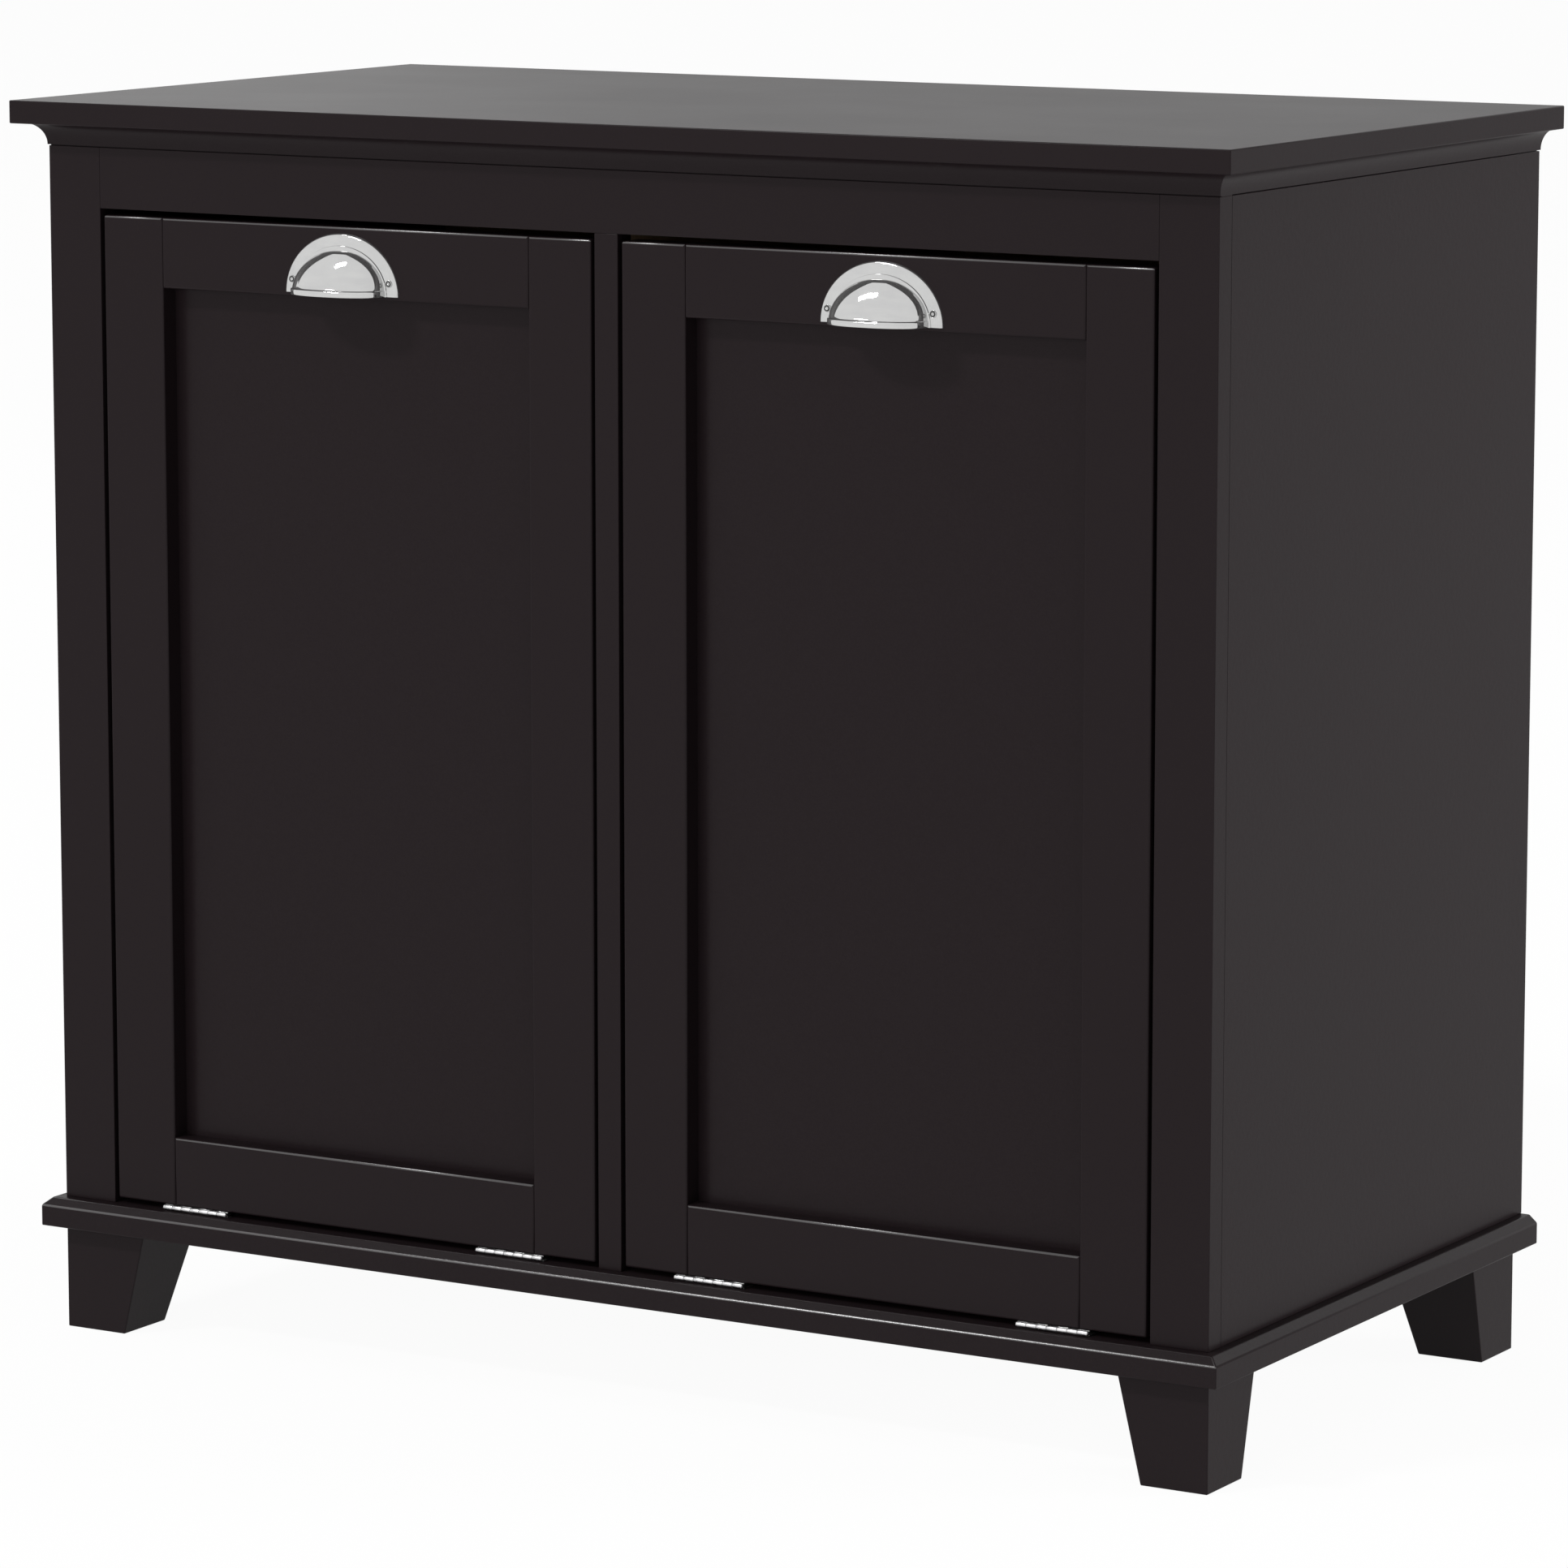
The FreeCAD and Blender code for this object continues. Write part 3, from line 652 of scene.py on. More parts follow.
def door_frame(side, turn):
    """Two stiles, two rails and the recessed panel, with fine joint lines where they meet."""
    body = side + "_door"

    def part(node, x_low, x_high, z_low, z_high):
        bm = box_mesh((x_low, front_y, z_low), (x_high, door_back_y, z_high))
        round_edges(bm, [e for e in bm.edges if not crosses_joint(e)], door_arris)
        rub_front_edges(bm)
        finished(bm, side + node + "_painted", paint, body, [side + node], edges=rubbed_paint, turn=turn)

    def crosses_joint(edge):
        """True for the short edges through the door's thickness where a rail meets a stile."""
        first, second = (v.co for v in edge.verts)
        return abs(first.y - second.y) > door_arris and min(abs(first.x - inner), abs(first.x - outer)) < arris

    inner = door_low.x + door_stile_width
    outer = door_high.x - door_stile_width
    part("_door_inner_stile", door_low.x, inner, door_low.z, door_high.z)
    part("_door_outer_stile", outer, door_high.x, door_low.z, door_high.z)
    part("_door_top_rail", inner, outer, door_high.z - door_rail_width, door_high.z)
    part("_door_bottom_rail", inner, outer, door_low.z, door_low.z + door_rail_width)
    board(side + "_door_panel", side + "_door_panel_painted", paint, body, frame_arris)


# Hinges

def knuckle(start, end):
    """A length of the hinge's barrel, along X, its end edges rounded."""
    bm = bmesh.new()
    bmesh.ops.create_cone(bm, cap_ends=True, segments=barrel_turns, radius1=barrel_radius, radius2=barrel_radius,
                          depth=end - start)
    rims = [e for e in bm.edges if abs(e.verts[0].co.z - e.verts[1].co.z) < barrel_radius / 100]
    for face in bm.faces:
        face.smooth = abs(face.normal.z) < 0.5
    round_edges(bm, rims, barrel_radius / 9, 2)
    bmesh.ops.rotate(bm, cent=origin, matrix=Matrix.Rotation(math.pi / 2, 3, "Y"), verts=bm.verts)
    bmesh.ops.translate(bm, vec=((start + end) / 2, axis.y, axis.z), verts=bm.verts)
    return bm


def hinge_leaf(middle, low, parity):
    """A leaf with every other knuckle of its hinge."""
    half = hinge_length / 2
    start_y = axis.y + barrel_radius * 0.6
    bm = rounded_box((middle - half, start_y, low), (middle + half, axis.y + leaf_depth, low + leaf_thickness),
                     leaf_thickness / 5, 2)
    pitch = hinge_length / knuckle_count
    for i in range(parity, knuckle_count, 2):
        start = middle - half + i * pitch + knuckle_gap / 2
        end = start + pitch - knuckle_gap
        add_mesh(bm, knuckle(start, end))
        side = -1 if low < axis.z else 1
        neck_z = axis.z + side * barrel_radius
        neck_low, neck_high = sorted((neck_z, neck_z - side * leaf_thickness))
        add_mesh(bm, box_mesh((start, axis.y, neck_low), (end, start_y + leaf_thickness, neck_high)))
    return bm


def hinges():
    both = bmesh.new()
    for middle in hinge_middles:
        add_pair(both, hinge_leaf(middle, base_top, 0))
    finished(both, "hinge_base_leaves_steel", steel, "cabinet", ["hinge_base_leaves"])
    for side, turn in hands:
        leaves = bmesh.new()
        for middle in hinge_middles:
            add_mesh(leaves, hinge_leaf(middle, door_low.z - leaf_thickness, 1))
        node = side + "_hinge_door_leaves"
        finished(leaves, node + "_steel", steel, side + "_door", [node], turn=turn)


# Screws

def screw_head(radius, proud, profile):
    """A head from its section as (share of radius, share of height), with a cross recess, its top along +Z."""
    section = [(share * radius, level * proud) for share, level in profile]
    bm = spun(section, along_z, 2 * math.pi, screw_turns, True, radius / 500)
    for v in bm.verts:
        flat = v.co.xy.length / radius
        if profile[1][0] * 0.9 < flat < profile[2][0] * 1.05:
            lobe = recess_waist + recess_lobe * abs(math.cos(2 * math.atan2(v.co.y, v.co.x))) ** 3
            v.co.x *= lobe
            v.co.y *= lobe
    bmesh.ops.recalc_face_normals(bm, faces=bm.faces)
    for face in bm.faces:
        face.smooth = True
        share = face.calc_center_median().xy.length / radius
        # On button heads the groove ring's faces take the second finish, a near-black painted shade
        face.material_index = int(profile == button_head and groove_start < share < groove_end)
    return bm


def screw_group(seats, radius, proud, profile=flat_head):
    """Heads at several seats, each seat a point and the way its head looks; each is turned a little."""
    group = bmesh.new()
    for i, (point, outward) in enumerate(seats):
        head = screw_head(radius, proud, profile)
        turn = Matrix.Rotation(i * head_twist, 3, "Z")
        aim = Vector(outward).to_track_quat("Z", "Y").to_matrix()
        bmesh.ops.rotate(head, cent=origin, matrix=aim @ turn, verts=head.verts)
        bmesh.ops.translate(head, vec=point, verts=head.verts)
        add_mesh(group, head)
    return group


def flipped(point):
    """The same point on the left-hand side."""
    return Vector((-point[0], point[1], point[2]))


def on_side(seats, turn):
    return seats if turn > 0 else [(flipped(point), flipped(outward)) for point, outward in seats]


def both_hands(seats):
    return seats + on_side(seats, -1)


def steel_screws(seats, name, body, stands_for=(), radius=screw_radius):
    finished(screw_group(seats, radius, screw_proud), name, steel, body, stands_for)


def leaf_screw_seats(z, outward):
    y = front_y + leaf_screw_setback
    return [(Vector((middle + step * leaf_screw_spacing, y, z)), outward)
            for middle in hinge_middles for step in (-1, 0, 1)]


def hinge_screws():
    seats = both_hands(leaf_screw_seats(base_top + leaf_thickness, along_z))
    steel_screws(seats, "hinge_base_screw_heads", "cabinet", ["hinge_base_screws"])
    for side, turn in hands:
        seats = on_side(leaf_screw_seats(door_low.z - leaf_thickness, -along_z), turn)
        steel_screws(seats, side + "_hinge_door_screw_heads", side + "_door", [side + "_hinge_door_screws"])


def bolt_heads():
    """The leg bolts' flat heads, let in level with the base board."""
    low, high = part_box("leg_bolts")
    x = high.x - bolt_radius
    seats = both_hands([(Vector((x, y, base_top)), along_z) for y in (low.y + bolt_radius, high.y - bolt_radius)])
    steel_screws(seats, "leg_bolt_heads", "cabinet", ["leg_bolts"], bolt_radius)


# Cup pulls

def widened(height):
    """How much wider than high the pull's arches are, at a given height of arch."""
    outer = pull_half_width / pull_height
    inner = step_half_width / step_height
    share = min(max((pull_height - height) / (pull_height - step_height), 0), 1)
    return outer + (inner - outer) * share


def pull_plate_mesh():
    """The flat flange with a raised step, as an arch swept half round the pull's foot."""
    step_edge = pull_step * 0.4
    raised = pull_plate + pull_step
    inside = cup_height - cup_wall
    rim = [(pull_height - pull_plate * (1 - math.cos(math.radians(a))), pull_plate * math.sin(math.radians(a)))
           for a in range(0, 91, 15)]
    profile = rim + [
        (step_height + step_edge, pull_plate),
        (step_height + step_edge * 0.3, pull_plate + step_edge * 0.3), (step_height, raised - step_edge),
        (step_height - step_edge * 0.3, raised - step_edge * 0.3), (step_height - step_edge, raised),
        (inside, raised), (inside, 0),
    ]
    bm = bmesh.new()
    corners = [bm.verts.new((height, -out, 0)) for height, out in profile]
    section = bm.faces.new(corners)
    bmesh.ops.spin(bm, geom=[section] + list(section.edges) + list(section.verts), cent=origin, axis=-along_y,
                   angle=math.pi, steps=cup_turns, use_merge=False, use_duplicate=False)
    for v in bm.verts:
        v.co.x *= widened(math.hypot(v.co.x, v.co.z))
    bmesh.ops.recalc_face_normals(bm, faces=bm.faces)
    return bm


def cup_profile():
    """The cup's outside as (distance out, level): a beaded lip, a flattish front, then a tight shoulder."""
    shoulder_out = cup_shoulder_radius * math.sin(cup_shoulder_turn)
    shoulder_level = cup_height - cup_shoulder_radius * (1 - math.cos(cup_shoulder_turn))
    out_left = cup_front_reach - shoulder_out
    drop_left = shoulder_level - cup_lip
    front_turn = 2 * math.atan2(drop_left, out_left) - cup_shoulder_turn
    front_radius = drop_left / (math.cos(cup_shoulder_turn) - math.cos(front_turn))
    roll = cup_lip * 0.12
    points = [
        (cup_reach - roll, 0), (cup_reach - roll * 0.3, roll * 0.3), (cup_reach, roll),
        (cup_reach, cup_lip * 0.70), (cup_reach - roll * 0.4, cup_lip * 0.82),
        (cup_reach - roll * 1.4, cup_lip * 0.91), (cup_front_reach + cup_groove, cup_lip * 0.95),
    ]
    for i in range(cup_steps + 1):
        turn = front_turn + (cup_shoulder_turn - front_turn) * i / cup_steps
        points.append((shoulder_out + front_radius * (math.sin(turn) - math.sin(cup_shoulder_turn)),
                       shoulder_level - front_radius * (math.cos(cup_shoulder_turn) - math.cos(turn))))
    for i in range(1, cup_steps + 1):
        turn = cup_shoulder_turn * (1 - i / cup_steps)
        points.append((cup_shoulder_radius * math.sin(turn),
                       cup_height - cup_shoulder_radius * (1 - math.cos(turn))))
    return points


def cup_rise(level):
    """How far up its arch a level of the cup lies, from 0 at the lip to 1 at the crown."""
    return min(max(level - cup_lip, 0) / (cup_height - cup_lip), 1)


def cup_mesh():
    """The cup, swept half round the upright line through the pull's foot, then widened to its arch."""
    bm = spun(cup_profile(), -along_z, math.pi, cup_turns, False, cup_lip / 1000)
    for v in bm.verts:
        out = v.co.xy.length
        if out < cup_groove:
            continue
        rise = cup_rise(v.co.z)
        lip = max(out - cup_front_reach, 0) if rise == 0 else 0
        wide = cup_half_width * math.sqrt(1 - rise * rise) + lip / 4
        fullness = cup_fullness + (cup_top_fullness - cup_fullness) * rise
        aside = min(abs(v.co.x) / out, 1)
        v.co.x = math.copysign(wide * aside, v.co.x)
        v.co.y = -out * (1 - aside ** fullness) ** (1 / fullness)
    bmesh.ops.recalc_face_normals(bm, faces=bm.faces)
    outward = sum(f.normal.dot(f.calc_center_median() - along_z * cup_lip) for f in bm.faces)
    if outward < 0:
        bmesh.ops.reverse_faces(bm, faces=bm.faces)
    return bm


def cup_pull(side, turn):
    body = side + "_door"
    node = side + "_cup_pull"
    plate = pull_plate_mesh()
    cup = cup_mesh()
    for bm in (plate, cup):
        bmesh.ops.translate(bm, vec=pull_foot, verts=bm.verts)
    finished(plate, node + "_flange", nickel, body, crease=plate_crease, turn=turn)
    piece = finished(cup, node + "_cup", nickel, body, [node], crease=cup_crease, turn=turn)
    wall = piece.modifiers.new("wall", "SOLIDIFY")
    wall.thickness = cup_wall
    wall.offset = -1
    seats = [(pull_foot + Vector((step * pull_screw_spacing / 2, -pull_plate, pull_screw_rise)), -along_y)
             for step in (-1, 1)]
    heads = screw_group(on_side(seats, turn), pull_screw_radius, pull_screw_height, button_head)
    # The heads' groove rings get the near-black painted shade
    finished(heads, side + "_pull_screw_heads", nickel, body, [side + "_pull_screws"], edges=painted_groove_shade)


# Carriers

def tilted_back(depth, rise):
    """Where a point of the fully open carrier lies when the door is shut."""
    y = depth * math.cos(open_angle) + rise * math.sin(open_angle)
    z = rise * math.cos(open_angle) - depth * math.sin(open_angle)
    return axis.y + y, axis.z + z


stop_depth = frame_back_y - axis.y + stop_gap
rail_rise = rail_bottom - axis.z
root_rise = math.sqrt((rail_rise - arm_clearance) ** 2 - stop_depth ** 2)
stop_root = tilted_back(stop_depth, root_rise)
stop_tip = tilted_back(stop_depth, rail_rise + stop_overlap)
stop_heel = tilted_back(stop_depth + stop_width, rail_rise + stop_overlap)
arm_top = stop_root[1]


def arm_outline():
    """The arm's side as (y, z) corners: flat on the door, a stop behind, a hollow lower edge."""
    rear = Vector((stop_heel[0], arm_top - arm_rear_height))
    toe = Vector((door_back_y + arm_foot_depth, axis.z + arm_foot_rise))
    middle = (rear + toe) / 2
    bend = middle + Vector((-arm_bend_share * (rear.y - toe.y), arm_bend_share * (rear.x - toe.x)))
    control = bend * 2 - middle
    curve = []
    for i in range(arm_steps + 1):
        t = i / arm_steps
        curve.append(toe * (1 - t) ** 2 + control * 2 * t * (1 - t) + rear * t ** 2)
    rest = [stop_heel, stop_tip, stop_root, (door_back_y, arm_top), (door_back_y, toe.y)]
    return [tuple(p) for p in curve] + rest


def arm_mesh(x_low):
    bm = extruded([(x_low, y, z) for y, z in arm_outline()], along_x * arm_thickness)
    for face in bm.faces:
        face.smooth = len(face.verts) == 4
    rims = [e for e in bm.edges if abs(e.verts[0].co.x - e.verts[1].co.x) < arm_arris / 100]
    round_edges(bm, rims, arm_arris)
    return bm


def bracket_mesh(x, away, middle):
    """A folded steel angle with its corner on the arm and the door."""
    t = bracket_thickness
    plan = [(0, 0), (bracket_on_door, 0), (bracket_on_door, t), (t, t), (t, bracket_on_arm), (0, bracket_on_arm)]
    low = middle - bracket_height / 2
    bm = extruded([(x + away * u, door_back_y + v, low) for u, v in plan], along_z * bracket_height)
    round_edges(bm, bm.edges, bracket_thickness / 6, 2)
    return bm


def bracket_seats(inner_x, outer_x):
    """Each bracket's corner on its arm, and the way it points along X."""
    low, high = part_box("right_carrier_front_bar")
    heights = (axis.z + arm_foot_rise + bracket_inset, arm_top - bracket_inset - (high.z - low.z))
    return [(x, away, middle) for middle in heights for x, away in ((inner_x, -1), (outer_x, 1))]


def carrier(side, turn):
    """Arms, bars, brackets and their screws, for one door."""
    body = side + "_door"

    def part(bm, node, ending, material):
        finished(bm, side + node + ending, material, body, [side + node], turn=turn)

    inner_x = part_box("right_carrier_inner_arm")[0].x
    outer_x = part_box("right_carrier_outer_arm")[1].x
    part(arm_mesh(inner_x), "_carrier_inner_arm", "_ply", ply)
    part(arm_mesh(outer_x - arm_thickness), "_carrier_outer_arm", "_ply", ply)
    seats = []
    for bar in ("_carrier_front_bar", "_carrier_rear_bar"):
        low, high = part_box("right" + bar)
        part(rounded_box(low, high, arm_arris), bar, "_wood", birch[0])
        for z in (high.z - bar_screw_inset, low.z + bar_screw_inset):
            for x, outward in ((inner_x, -along_x), (outer_x, along_x)):
                seats.append((Vector((x, (low.y + high.y) / 2, z)), outward))
    steel_screws(on_side(seats, turn), side + "_carrier_screw_heads", body, [side + "_carrier_screws"])
    brackets = bmesh.new()
    seats = []
    for x, away, middle in bracket_seats(inner_x, outer_x):
        add_mesh(brackets, bracket_mesh(x, away, middle))
        on_door = Vector((x + away * bracket_on_door / 2, door_back_y + bracket_thickness, middle))
        on_arm = Vector((x + away * bracket_thickness, door_back_y + bracket_on_arm / 2, middle))
        seats += [(on_door, along_y), (on_arm, along_x * away)]
    part(brackets, "_arm_brackets", "_steel", steel)
    steel_screws(on_side(seats, turn), side + "_bracket_screw_heads", body, [side + "_bracket_screws"])


# Laundry bags

def tub_corners():
    """The middle of the bag's wall, as opposite corners, for the right-hand bag."""
    half = cloth_thickness / 2
    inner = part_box("right_carrier_inner_arm")[1].x + cloth_gap + half
    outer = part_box("right_carrier_outer_arm")[0].x - cloth_gap - half
    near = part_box("right_carrier_front_bar")[1].y + cloth_gap + half
    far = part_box("right_carrier_rear_bar")[0].y - cloth_gap - half
    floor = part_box("right_laundry_bag")[0].z + half
    return Vector((inner, near, floor)), Vector((outer, far, arm_top + cloth_gap + half))


def turn_over_widths():
    """How wide the cloth lies over an arm and over a bar."""
    bar_low, bar_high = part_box("right_carrier_front_bar")
    spare = 2 * cloth_gap + cloth_thickness
    return arm_thickness + spare, bar_high.y - bar_low.y + spare


tub_low, tub_high = tub_corners()
over_arm, over_bar = turn_over_widths()


def slice_evenly(bm, low, high, direction):
    """Cuts a mesh across a direction into cells of about one cloth cell."""
    span = high - low
    count = max(1, round(span / cloth_cell))
    for i in range(1, count):
        point = direction * (low + span * i / count)
        bmesh.ops.bisect_plane(bm, geom=bm.verts[:] + bm.edges[:] + bm.faces[:], dist=cloth_cell / 50,
                               plane_co=point, plane_no=direction)


def bag_tub():
    """An open-topped tub of cloth cells with soft upright and lower corners."""
    bm = box_mesh(tub_low, tub_high)
    lid = [f for f in bm.faces if f.normal.z > 0.9]
    bmesh.ops.delete(bm, geom=lid, context="FACES_ONLY")
    soft = [e for e in bm.edges if not e.is_boundary]
    round_edges(bm, soft, bag_corner, 4)
    slice_evenly(bm, tub_low.x, tub_high.x, along_x)
    slice_evenly(bm, tub_low.y, tub_high.y, along_y)
    slice_evenly(bm, tub_low.z, tub_high.z, along_z)
    return bm


def turn_cuff(bm):
    """Folds the top of each side out over its arm or bar and down its outer face."""
    bend = cloth_thickness * 0.6
    sides = ((along_x, tub_high.x, over_arm), (-along_x, -tub_low.x, over_arm),
             (along_y, tub_high.y, over_bar), (-along_y, -tub_low.y, over_bar))
    for outward, level, width in sides:
        rim = [e for e in bm.edges if e.is_boundary
               and all(abs(v.co.dot(outward) - level) < bend / 4 and abs(v.co.z - tub_high.z) < bend / 4
                       for v in e.verts)]
        moves = [outward * (width / 3)] * 2 + [outward * (width / 3 - bend) - along_z * bend * 0.2]
        moves += [outward * bend - along_z * bend] + [-along_z * (cuff_drop - bend) / 5] * 5
        for move in moves:
            grown = bmesh.ops.extrude_edge_only(bm, edges=rim)
            points = [item for item in grown["geom"] if isinstance(item, bmesh.types.BMVert)]
            rim = [item for item in grown["geom"] if isinstance(item, bmesh.types.BMEdge)
                   and all(v in points for v in item.verts)]
            bmesh.ops.translate(bm, vec=move, verts=points)


def is_cuff(point):
    """True outside the tub's walls, where the cloth has been turned over."""
    return not all(tub_low[i] - cloth_gap < point[i] < tub_high[i] + cloth_gap for i in (0, 1))


def cuff_flare(point, seed):
    """How far the turned-down cloth stands off, growing towards its lower edge."""
    drop = min(max((arm_top - point.z) / cuff_drop, 0), 1)
    ripple = noise.noise(Vector((point.x * ripple_pitch, point.y * ripple_pitch, seed)))
    return cuff_wave * drop * (ripple_mean + ripple_swing * ripple)


def flare_cuff(bm, seed):
    for v in bm.verts:
        if is_cuff(v.co) and v.co.z < arm_top:
            v.co += outward_of(v.co) * max(cuff_flare(v.co, seed), 0)


def outward_of(point):
    """Which way the nearest side of the bag faces."""
    reach = {1: point.x - tub_high.x, -1: tub_low.x - point.x, 2: point.y - tub_high.y, -2: tub_low.y - point.y}
    side = max(reach, key=reach.get)
    return (along_x if abs(side) == 1 else along_y) * math.copysign(1, side)


def ease_walls(bm, seed):
    """Lets the walls draw in and hang in soft folds."""
    depth = tub_high.z - tub_low.z
    centre = (tub_low + tub_high) / 2
    for v in bm.verts:
        if is_cuff(v.co):
            continue
        down = min(max((arm_top - v.co.z) / depth, 0), 1)
        angle = math.atan2(v.co.y - centre.y, v.co.x - centre.x)
        round_it = (math.cos(angle) * folds_round, math.sin(angle) * folds_round)
        fold = noise.noise(Vector((*round_it, v.co.z * folds_down + seed)))
        draw = waist_draw * math.sin(math.pi * down) + foot_draw * down + fold_depth * fold * min(down * 4, 1)
        inward = Vector((centre.x - v.co.x, centre.y - v.co.y, 0))
        if inward.length > cloth_cell:
            v.co += inward.normalized() * max(draw, 0)
        if down > floor_share:
            wave = noise.noise(Vector((v.co.x * floor_pitch, v.co.y * floor_pitch, seed)))
            v.co.z += floor_lift + floor_lift * wave


def in_order(bm):
    """The same cloth with its faces and their corners in one fixed order, so that it settles alike in each run."""
    bm.verts.index_update()
    rings = []
    for face in bm.faces:
        ring = [v.index for v in face.verts]
        first = ring.index(min(ring))
        rings.append(ring[first:] + ring[:first])
    ordered = bmesh.new()
    verts = [ordered.verts.new(v.co) for v in bm.verts]
    for ring in sorted(rings):
        ordered.faces.new([verts[i] for i in ring])
    ordered.normal_update()
    return ordered


def lay_out_weave(bm):
    """Maps each face flat, in metres, along the side that it faces most."""
    layer = bm.loops.layers.uv.new("weave")
    for face in bm.faces:
        size = [abs(c) for c in face.normal]
        drop = size.index(max(size))
        for loop in face.loops:
            loop[layer].uv = [loop.vert.co[i] for i in range(3) if i != drop]


def hold(piece):
    """Names the points that the arms and bars hold still."""
    group = piece.vertex_groups.new(name="held")
    fixed = [v.index for v in piece.data.vertices
             if is_cuff(v.co) or v.co.z > arm_top - cloth_cell * 0.7]
    group.add(fixed, 1.0, "REPLACE")


def let_hang(piece):
    """Lets the cloth settle with a little slack, then keeps it clear of the arms and the base board."""
    settle = piece.modifiers.new("settle", "CLOTH")
    for setting, value in cloth_settings.items():
        setattr(settle.settings, setting, value)
    settle.collision_settings.use_collision = False
    settle.collision_settings.use_self_collision = False
    for step in range(1, settle_frames + 1):
        scene.frame_set(step)
    settled = piece.evaluated_get(bpy.context.evaluated_depsgraph_get())
    places = [v.co.copy() for v in settled.to_mesh().vertices]
    settled.to_mesh_clear()
    piece.modifiers.remove(settle)
    scene.frame_set(1)
    for v, place in zip(piece.data.vertices, places):
        if is_cuff(v.co):
            continue
        v.co.x = min(max(place.x, tub_low.x), tub_high.x)
        v.co.y = min(max(place.y, tub_low.y), tub_high.y)
        v.co.z = max(place.z, tub_low.z)


def stitch_mesh():
    """One short raised stitch, lying along X."""
    bm = bmesh.new()
    bmesh.ops.create_icosphere(bm, subdivisions=1, radius=1)
    bmesh.ops.scale(bm, vec=(stitch_length / 2, stitch_radius, stitch_radius), verts=bm.verts)
    return bm


def cuff_stitches(seed):
    """Rows of stitches along the hem of the turned-down cuff, on all four sides."""
    rows = bmesh.new()
    level = arm_top - cuff_drop + hem_height
    corner = bag_corner + stitch_pitch
    ends = [((tub_low.x + corner, y, level), (tub_high.x - corner, y, level))
            for y in (tub_low.y - over_bar, tub_high.y + over_bar)]
    ends += [((x, tub_low.y + corner, level), (x, tub_high.y - corner, level))
             for x in (tub_low.x - over_arm, tub_high.x + over_arm)]
    for start, end in ends:
        start = Vector(start)
        run = Vector(end) - start
        count = int(run.length / stitch_pitch)
        turn = Matrix.Rotation(math.pi / 2 if abs(run.y) > abs(run.x) else 0, 3, "Z")
        for i in range(count):
            place = start + run * ((i + 0.5) / count)
            outward = outward_of(place)
            place += outward * (max(cuff_flare(place, seed), 0) + cloth_thickness / 2)
            stitch = stitch_mesh()
            bmesh.ops.rotate(stitch, cent=origin, matrix=turn, verts=stitch.verts)
            bmesh.ops.translate(stitch, vec=place, verts=stitch.verts)
            add_mesh(rows, stitch)
    return rows


def laundry_bag(side, turn, seed):
    body = side + "_door"
    node = side + "_laundry_bag"
    bm = bag_tub()
    turn_cuff(bm)
    ease_walls(bm, seed)
    flare_cuff(bm, seed)
    bmesh.ops.recalc_face_normals(bm, faces=bm.faces)
    bm = in_order(bm)
    lay_out_weave(bm)
    piece = finished(bm, node + "_canvas", cloth, body, [node], crease=all_smooth)
    hold(piece)
    let_hang(piece)
    if turn < 0:
        for v in piece.data.vertices:
            v.co.x = -v.co.x
        piece.data.flip_normals()
    skin = piece.modifiers.new("cloth", "SOLIDIFY")
    skin.thickness = cloth_thickness
    skin.offset = 0
    smooth = piece.modifiers.new("smooth", "SUBSURF")
    smooth.levels = 1
    smooth.render_levels = 1
    rows = cuff_stitches(seed)
    stitches = finished(rows, side + "_bag_cuff_stitches", thread, body, crease=all_smooth, turn=turn)


# Catches

def catches():
    """A moulded magnet block on each face of the divider, with two steel poles in front."""
    low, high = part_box("magnetic_catches")
    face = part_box("centre_divider")[1].x
    reach = high.x - face
    pole_inset = reach / 6
    pole_proud = (high.y - low.y) / 20
    housings = bmesh.new()
    add_pair(housings, rounded_box((face, low.y + pole_proud, low.z), high, pole_proud))
    finished(housings, "magnetic_catch_housings", black_plastic, "cabinet", ["magnetic_catches"])
    poles = bmesh.new()
    for share in pole_shares:
        x = face + reach * share
        pole_low = (x, low.y, low.z + pole_inset * 2)
        pole_high = (x + pole_inset / 2, high.y - pole_inset, high.z - pole_inset * 2)
        add_pair(poles, rounded_box(pole_low, pole_high, pole_proud / 4, 2))
    finished(poles, "magnetic_catch_poles", steel, "cabinet")
    seats = [(Vector((high.x, (low.y + high.y) / 2, z)), along_x) for z in (low.z + pole_inset, high.z - pole_inset)]
    steel_screws(both_hands(seats), "magnetic_catch_screw_heads", "cabinet", radius=small_screw_radius)


def strike_plates():
    for side, turn in hands:
        body = side + "_door"
        node = side + "_strike_plate"
        low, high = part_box(node)
        finished(rounded_box(low, high, (high.y - low.y) / 4, 2), node + "_steel", steel, body, [node])
        low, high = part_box("right_strike_plate")
        seats = [(Vector(((low.x + high.x) / 2, high.y, z)), along_y)
                 for z in (low.z + screw_radius * 2, high.z - screw_radius * 2)]
        steel_screws(on_side(seats, turn), side + "_strike_screw_heads", body, radius=small_screw_radius)


# Set-up: floor, light and camera

def seen_directly(m):
    """1 where the camera, gloss or glass look at a surface, 0 where it only lights others."""
    path = m.add("ShaderNodeLightPath")
    seen = path.outputs["Is Camera Ray"]
    for other in ("Is Glossy Ray", "Is Transmission Ray"):
        seen = m.math("MAXIMUM", seen, path.outputs[other])
    return seen


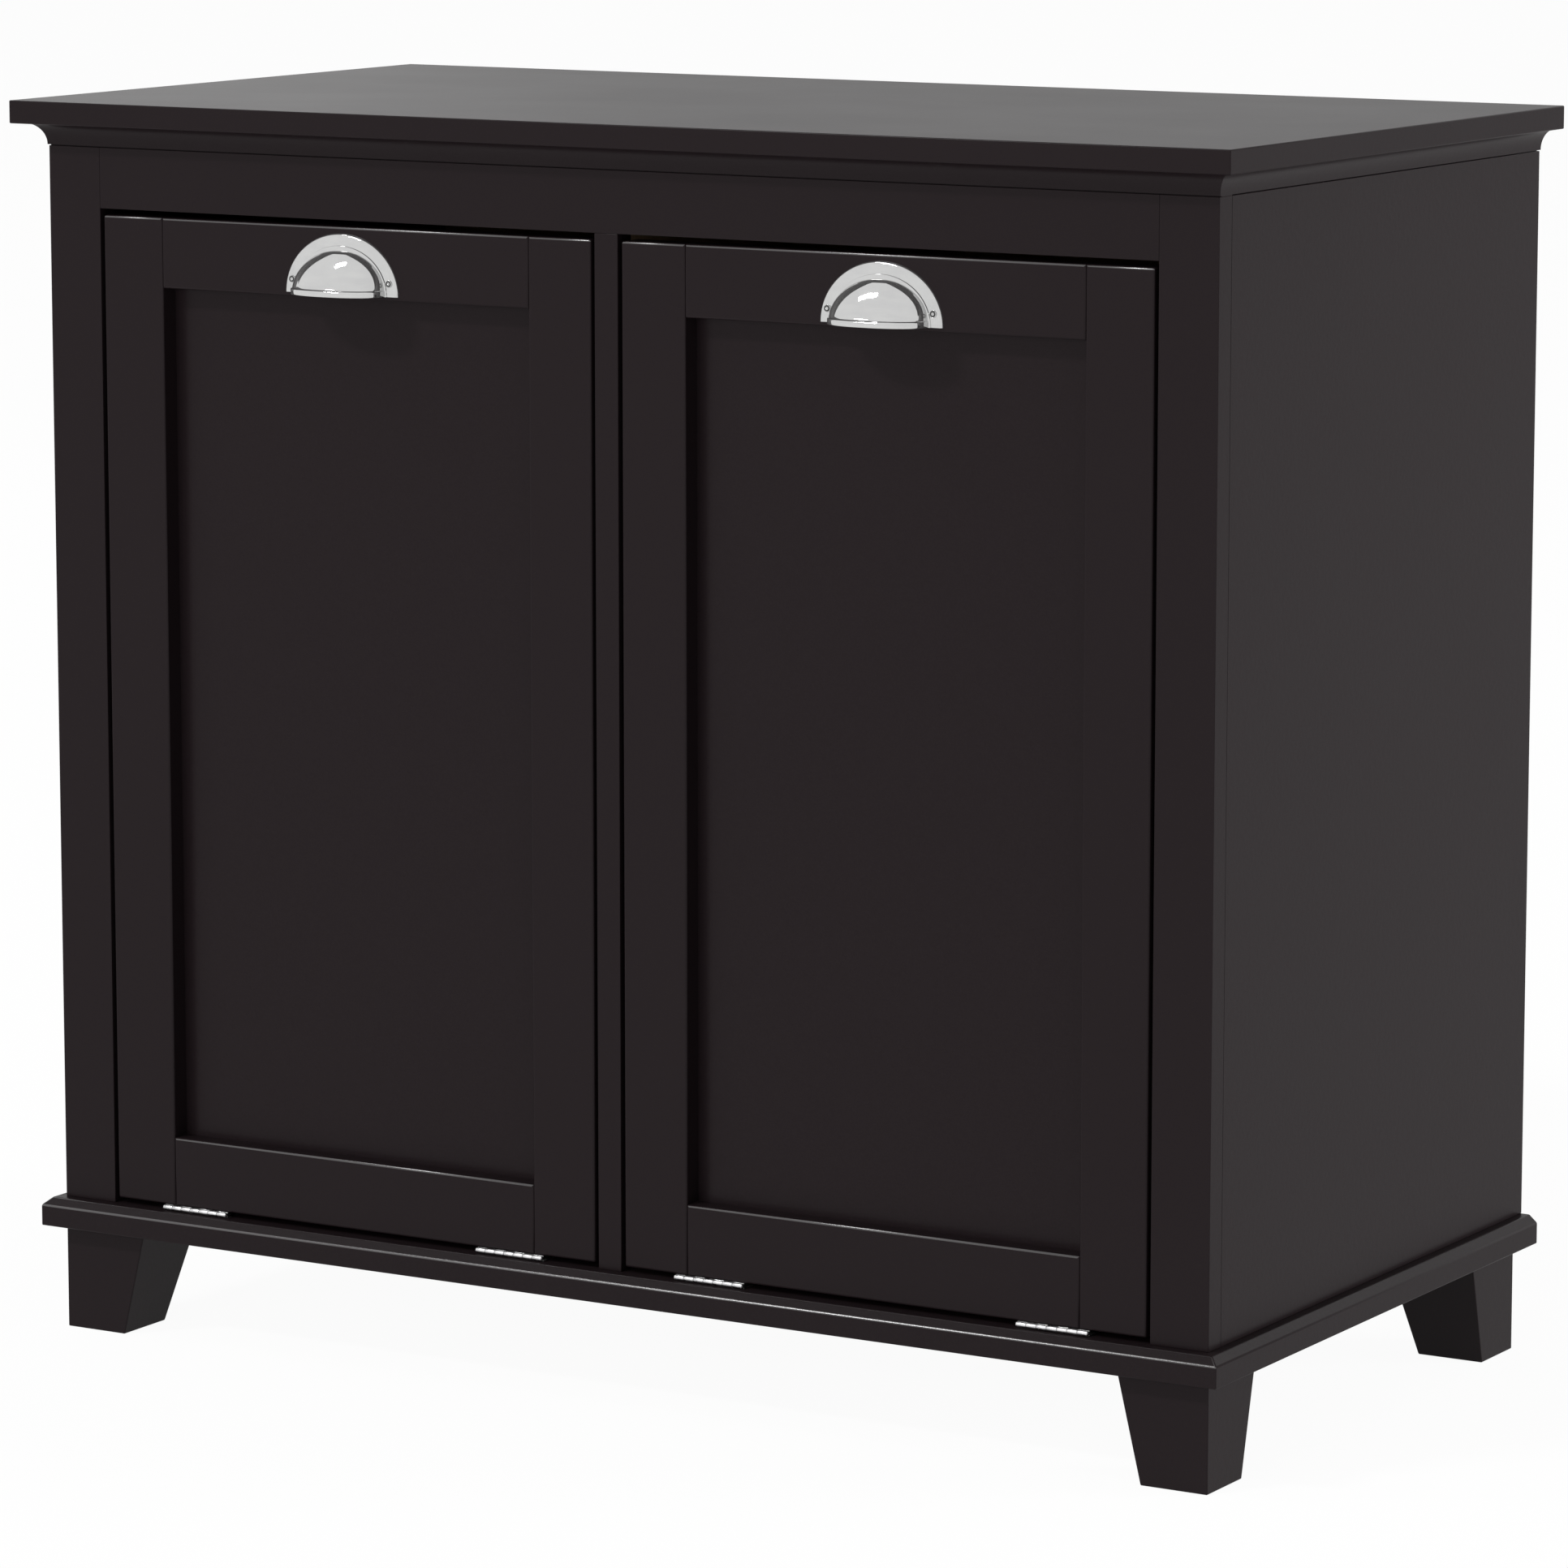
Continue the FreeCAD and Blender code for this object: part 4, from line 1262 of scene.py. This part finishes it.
def pale_floor_material():
    """A white floor: near white where the camera, gloss or glass see it, with the object's shadow left faint."""
    m = Nodes(bpy.data.materials.new("pale_floor"))
    pale = m.set(Base_Color=(1, 1, 1, 1), Roughness=1.0, Specular_IOR_Level=0.0)
    share = m.math("MULTIPLY", seen_directly(m), floor_glow_share)
    matt = m.tree.nodes["Principled BSDF"]
    glow = m.add("ShaderNodeEmission")
    mix = m.feed(m.add("ShaderNodeMixShader"), {0: share, 1: matt.outputs[0], 2: glow.outputs[0]})
    m.feed(m.tree.nodes["Material Output"], {"Surface": mix.outputs[0]})
    pale.cycles.emission_sampling = "NONE"
    return pale


def floor():
    bm = bmesh.new()
    bmesh.ops.create_grid(bm, x_segments=1, y_segments=1, size=floor_reach)
    mesh = bpy.data.meshes.new("floor")
    bm.to_mesh(mesh)
    bm.free()
    mesh.materials.append(pale_floor_material())
    plane = bpy.data.objects.new("floor", mesh)
    scene.collection.objects.link(plane)


def surroundings():
    """A white room all round, which itself gives less than half of the light."""
    scene.world = bpy.data.worlds.new("white_room")
    m = Nodes(scene.world)
    level = m.add("ShaderNodeMapRange", Value=seen_directly(m), To_Min=room_light, To_Max=1.0)
    m.feed(m.tree.nodes["Background"], {"Color": (1, 1, 1, 1), "Strength": level.outputs["Result"]})


def softbox(name, place, target, width, height, power, shape, mirrored):
    """A soft lamp aimed at a point, its width kept level along X; gloss shows it only where it is mirrored."""
    lamp = bpy.data.lights.new(name, "AREA")
    lamp.shape = shape
    lamp.size = width
    lamp.size_y = height
    lamp.energy = power
    holder = bpy.data.objects.new(name, lamp)
    back = (Vector(place) - Vector(target)).normalized()
    level = (along_x - back * along_x.dot(back)).normalized()
    turn = Matrix((level, back.cross(level), back)).transposed()
    holder.location = place
    holder.rotation_euler = turn.to_euler()
    holder.visible_glossy = mirrored
    scene.collection.objects.link(holder)


def camera():
    eye = bpy.data.cameras.new("camera")
    eye.sensor_width = sensor_width
    eye.lens = focal_pixels / photo_size * sensor_width
    holder = bpy.data.objects.new("camera", eye)
    holder.location = camera_place
    holder.rotation_euler = (math.pi / 2 - camera_dip, 0, camera_turn)
    scene.collection.objects.link(holder)
    scene.camera = holder


def main():
    painted_boards()
    inner_boards()
    coves()
    base_moulding()
    legs()
    hinges()
    hinge_screws()
    bolt_heads()
    catches()
    strike_plates()
    for number, (side, turn) in enumerate(hands):
        door_frame(side, turn)
        cup_pull(side, turn)
        carrier(side, turn)
        laundry_bag(side, turn, number * second_seed)
    for name, material in (("carcass_dowels", birch[2]), ("hinge_pins", steel)):
        materials = frame["nodes"][name].data.materials
        materials.clear()
        materials.append(material)
    floor()
    surroundings()
    for lamp in lamps:
        softbox(*lamp)
    camera()


main()
scene.view_settings.view_transform = "Standard"
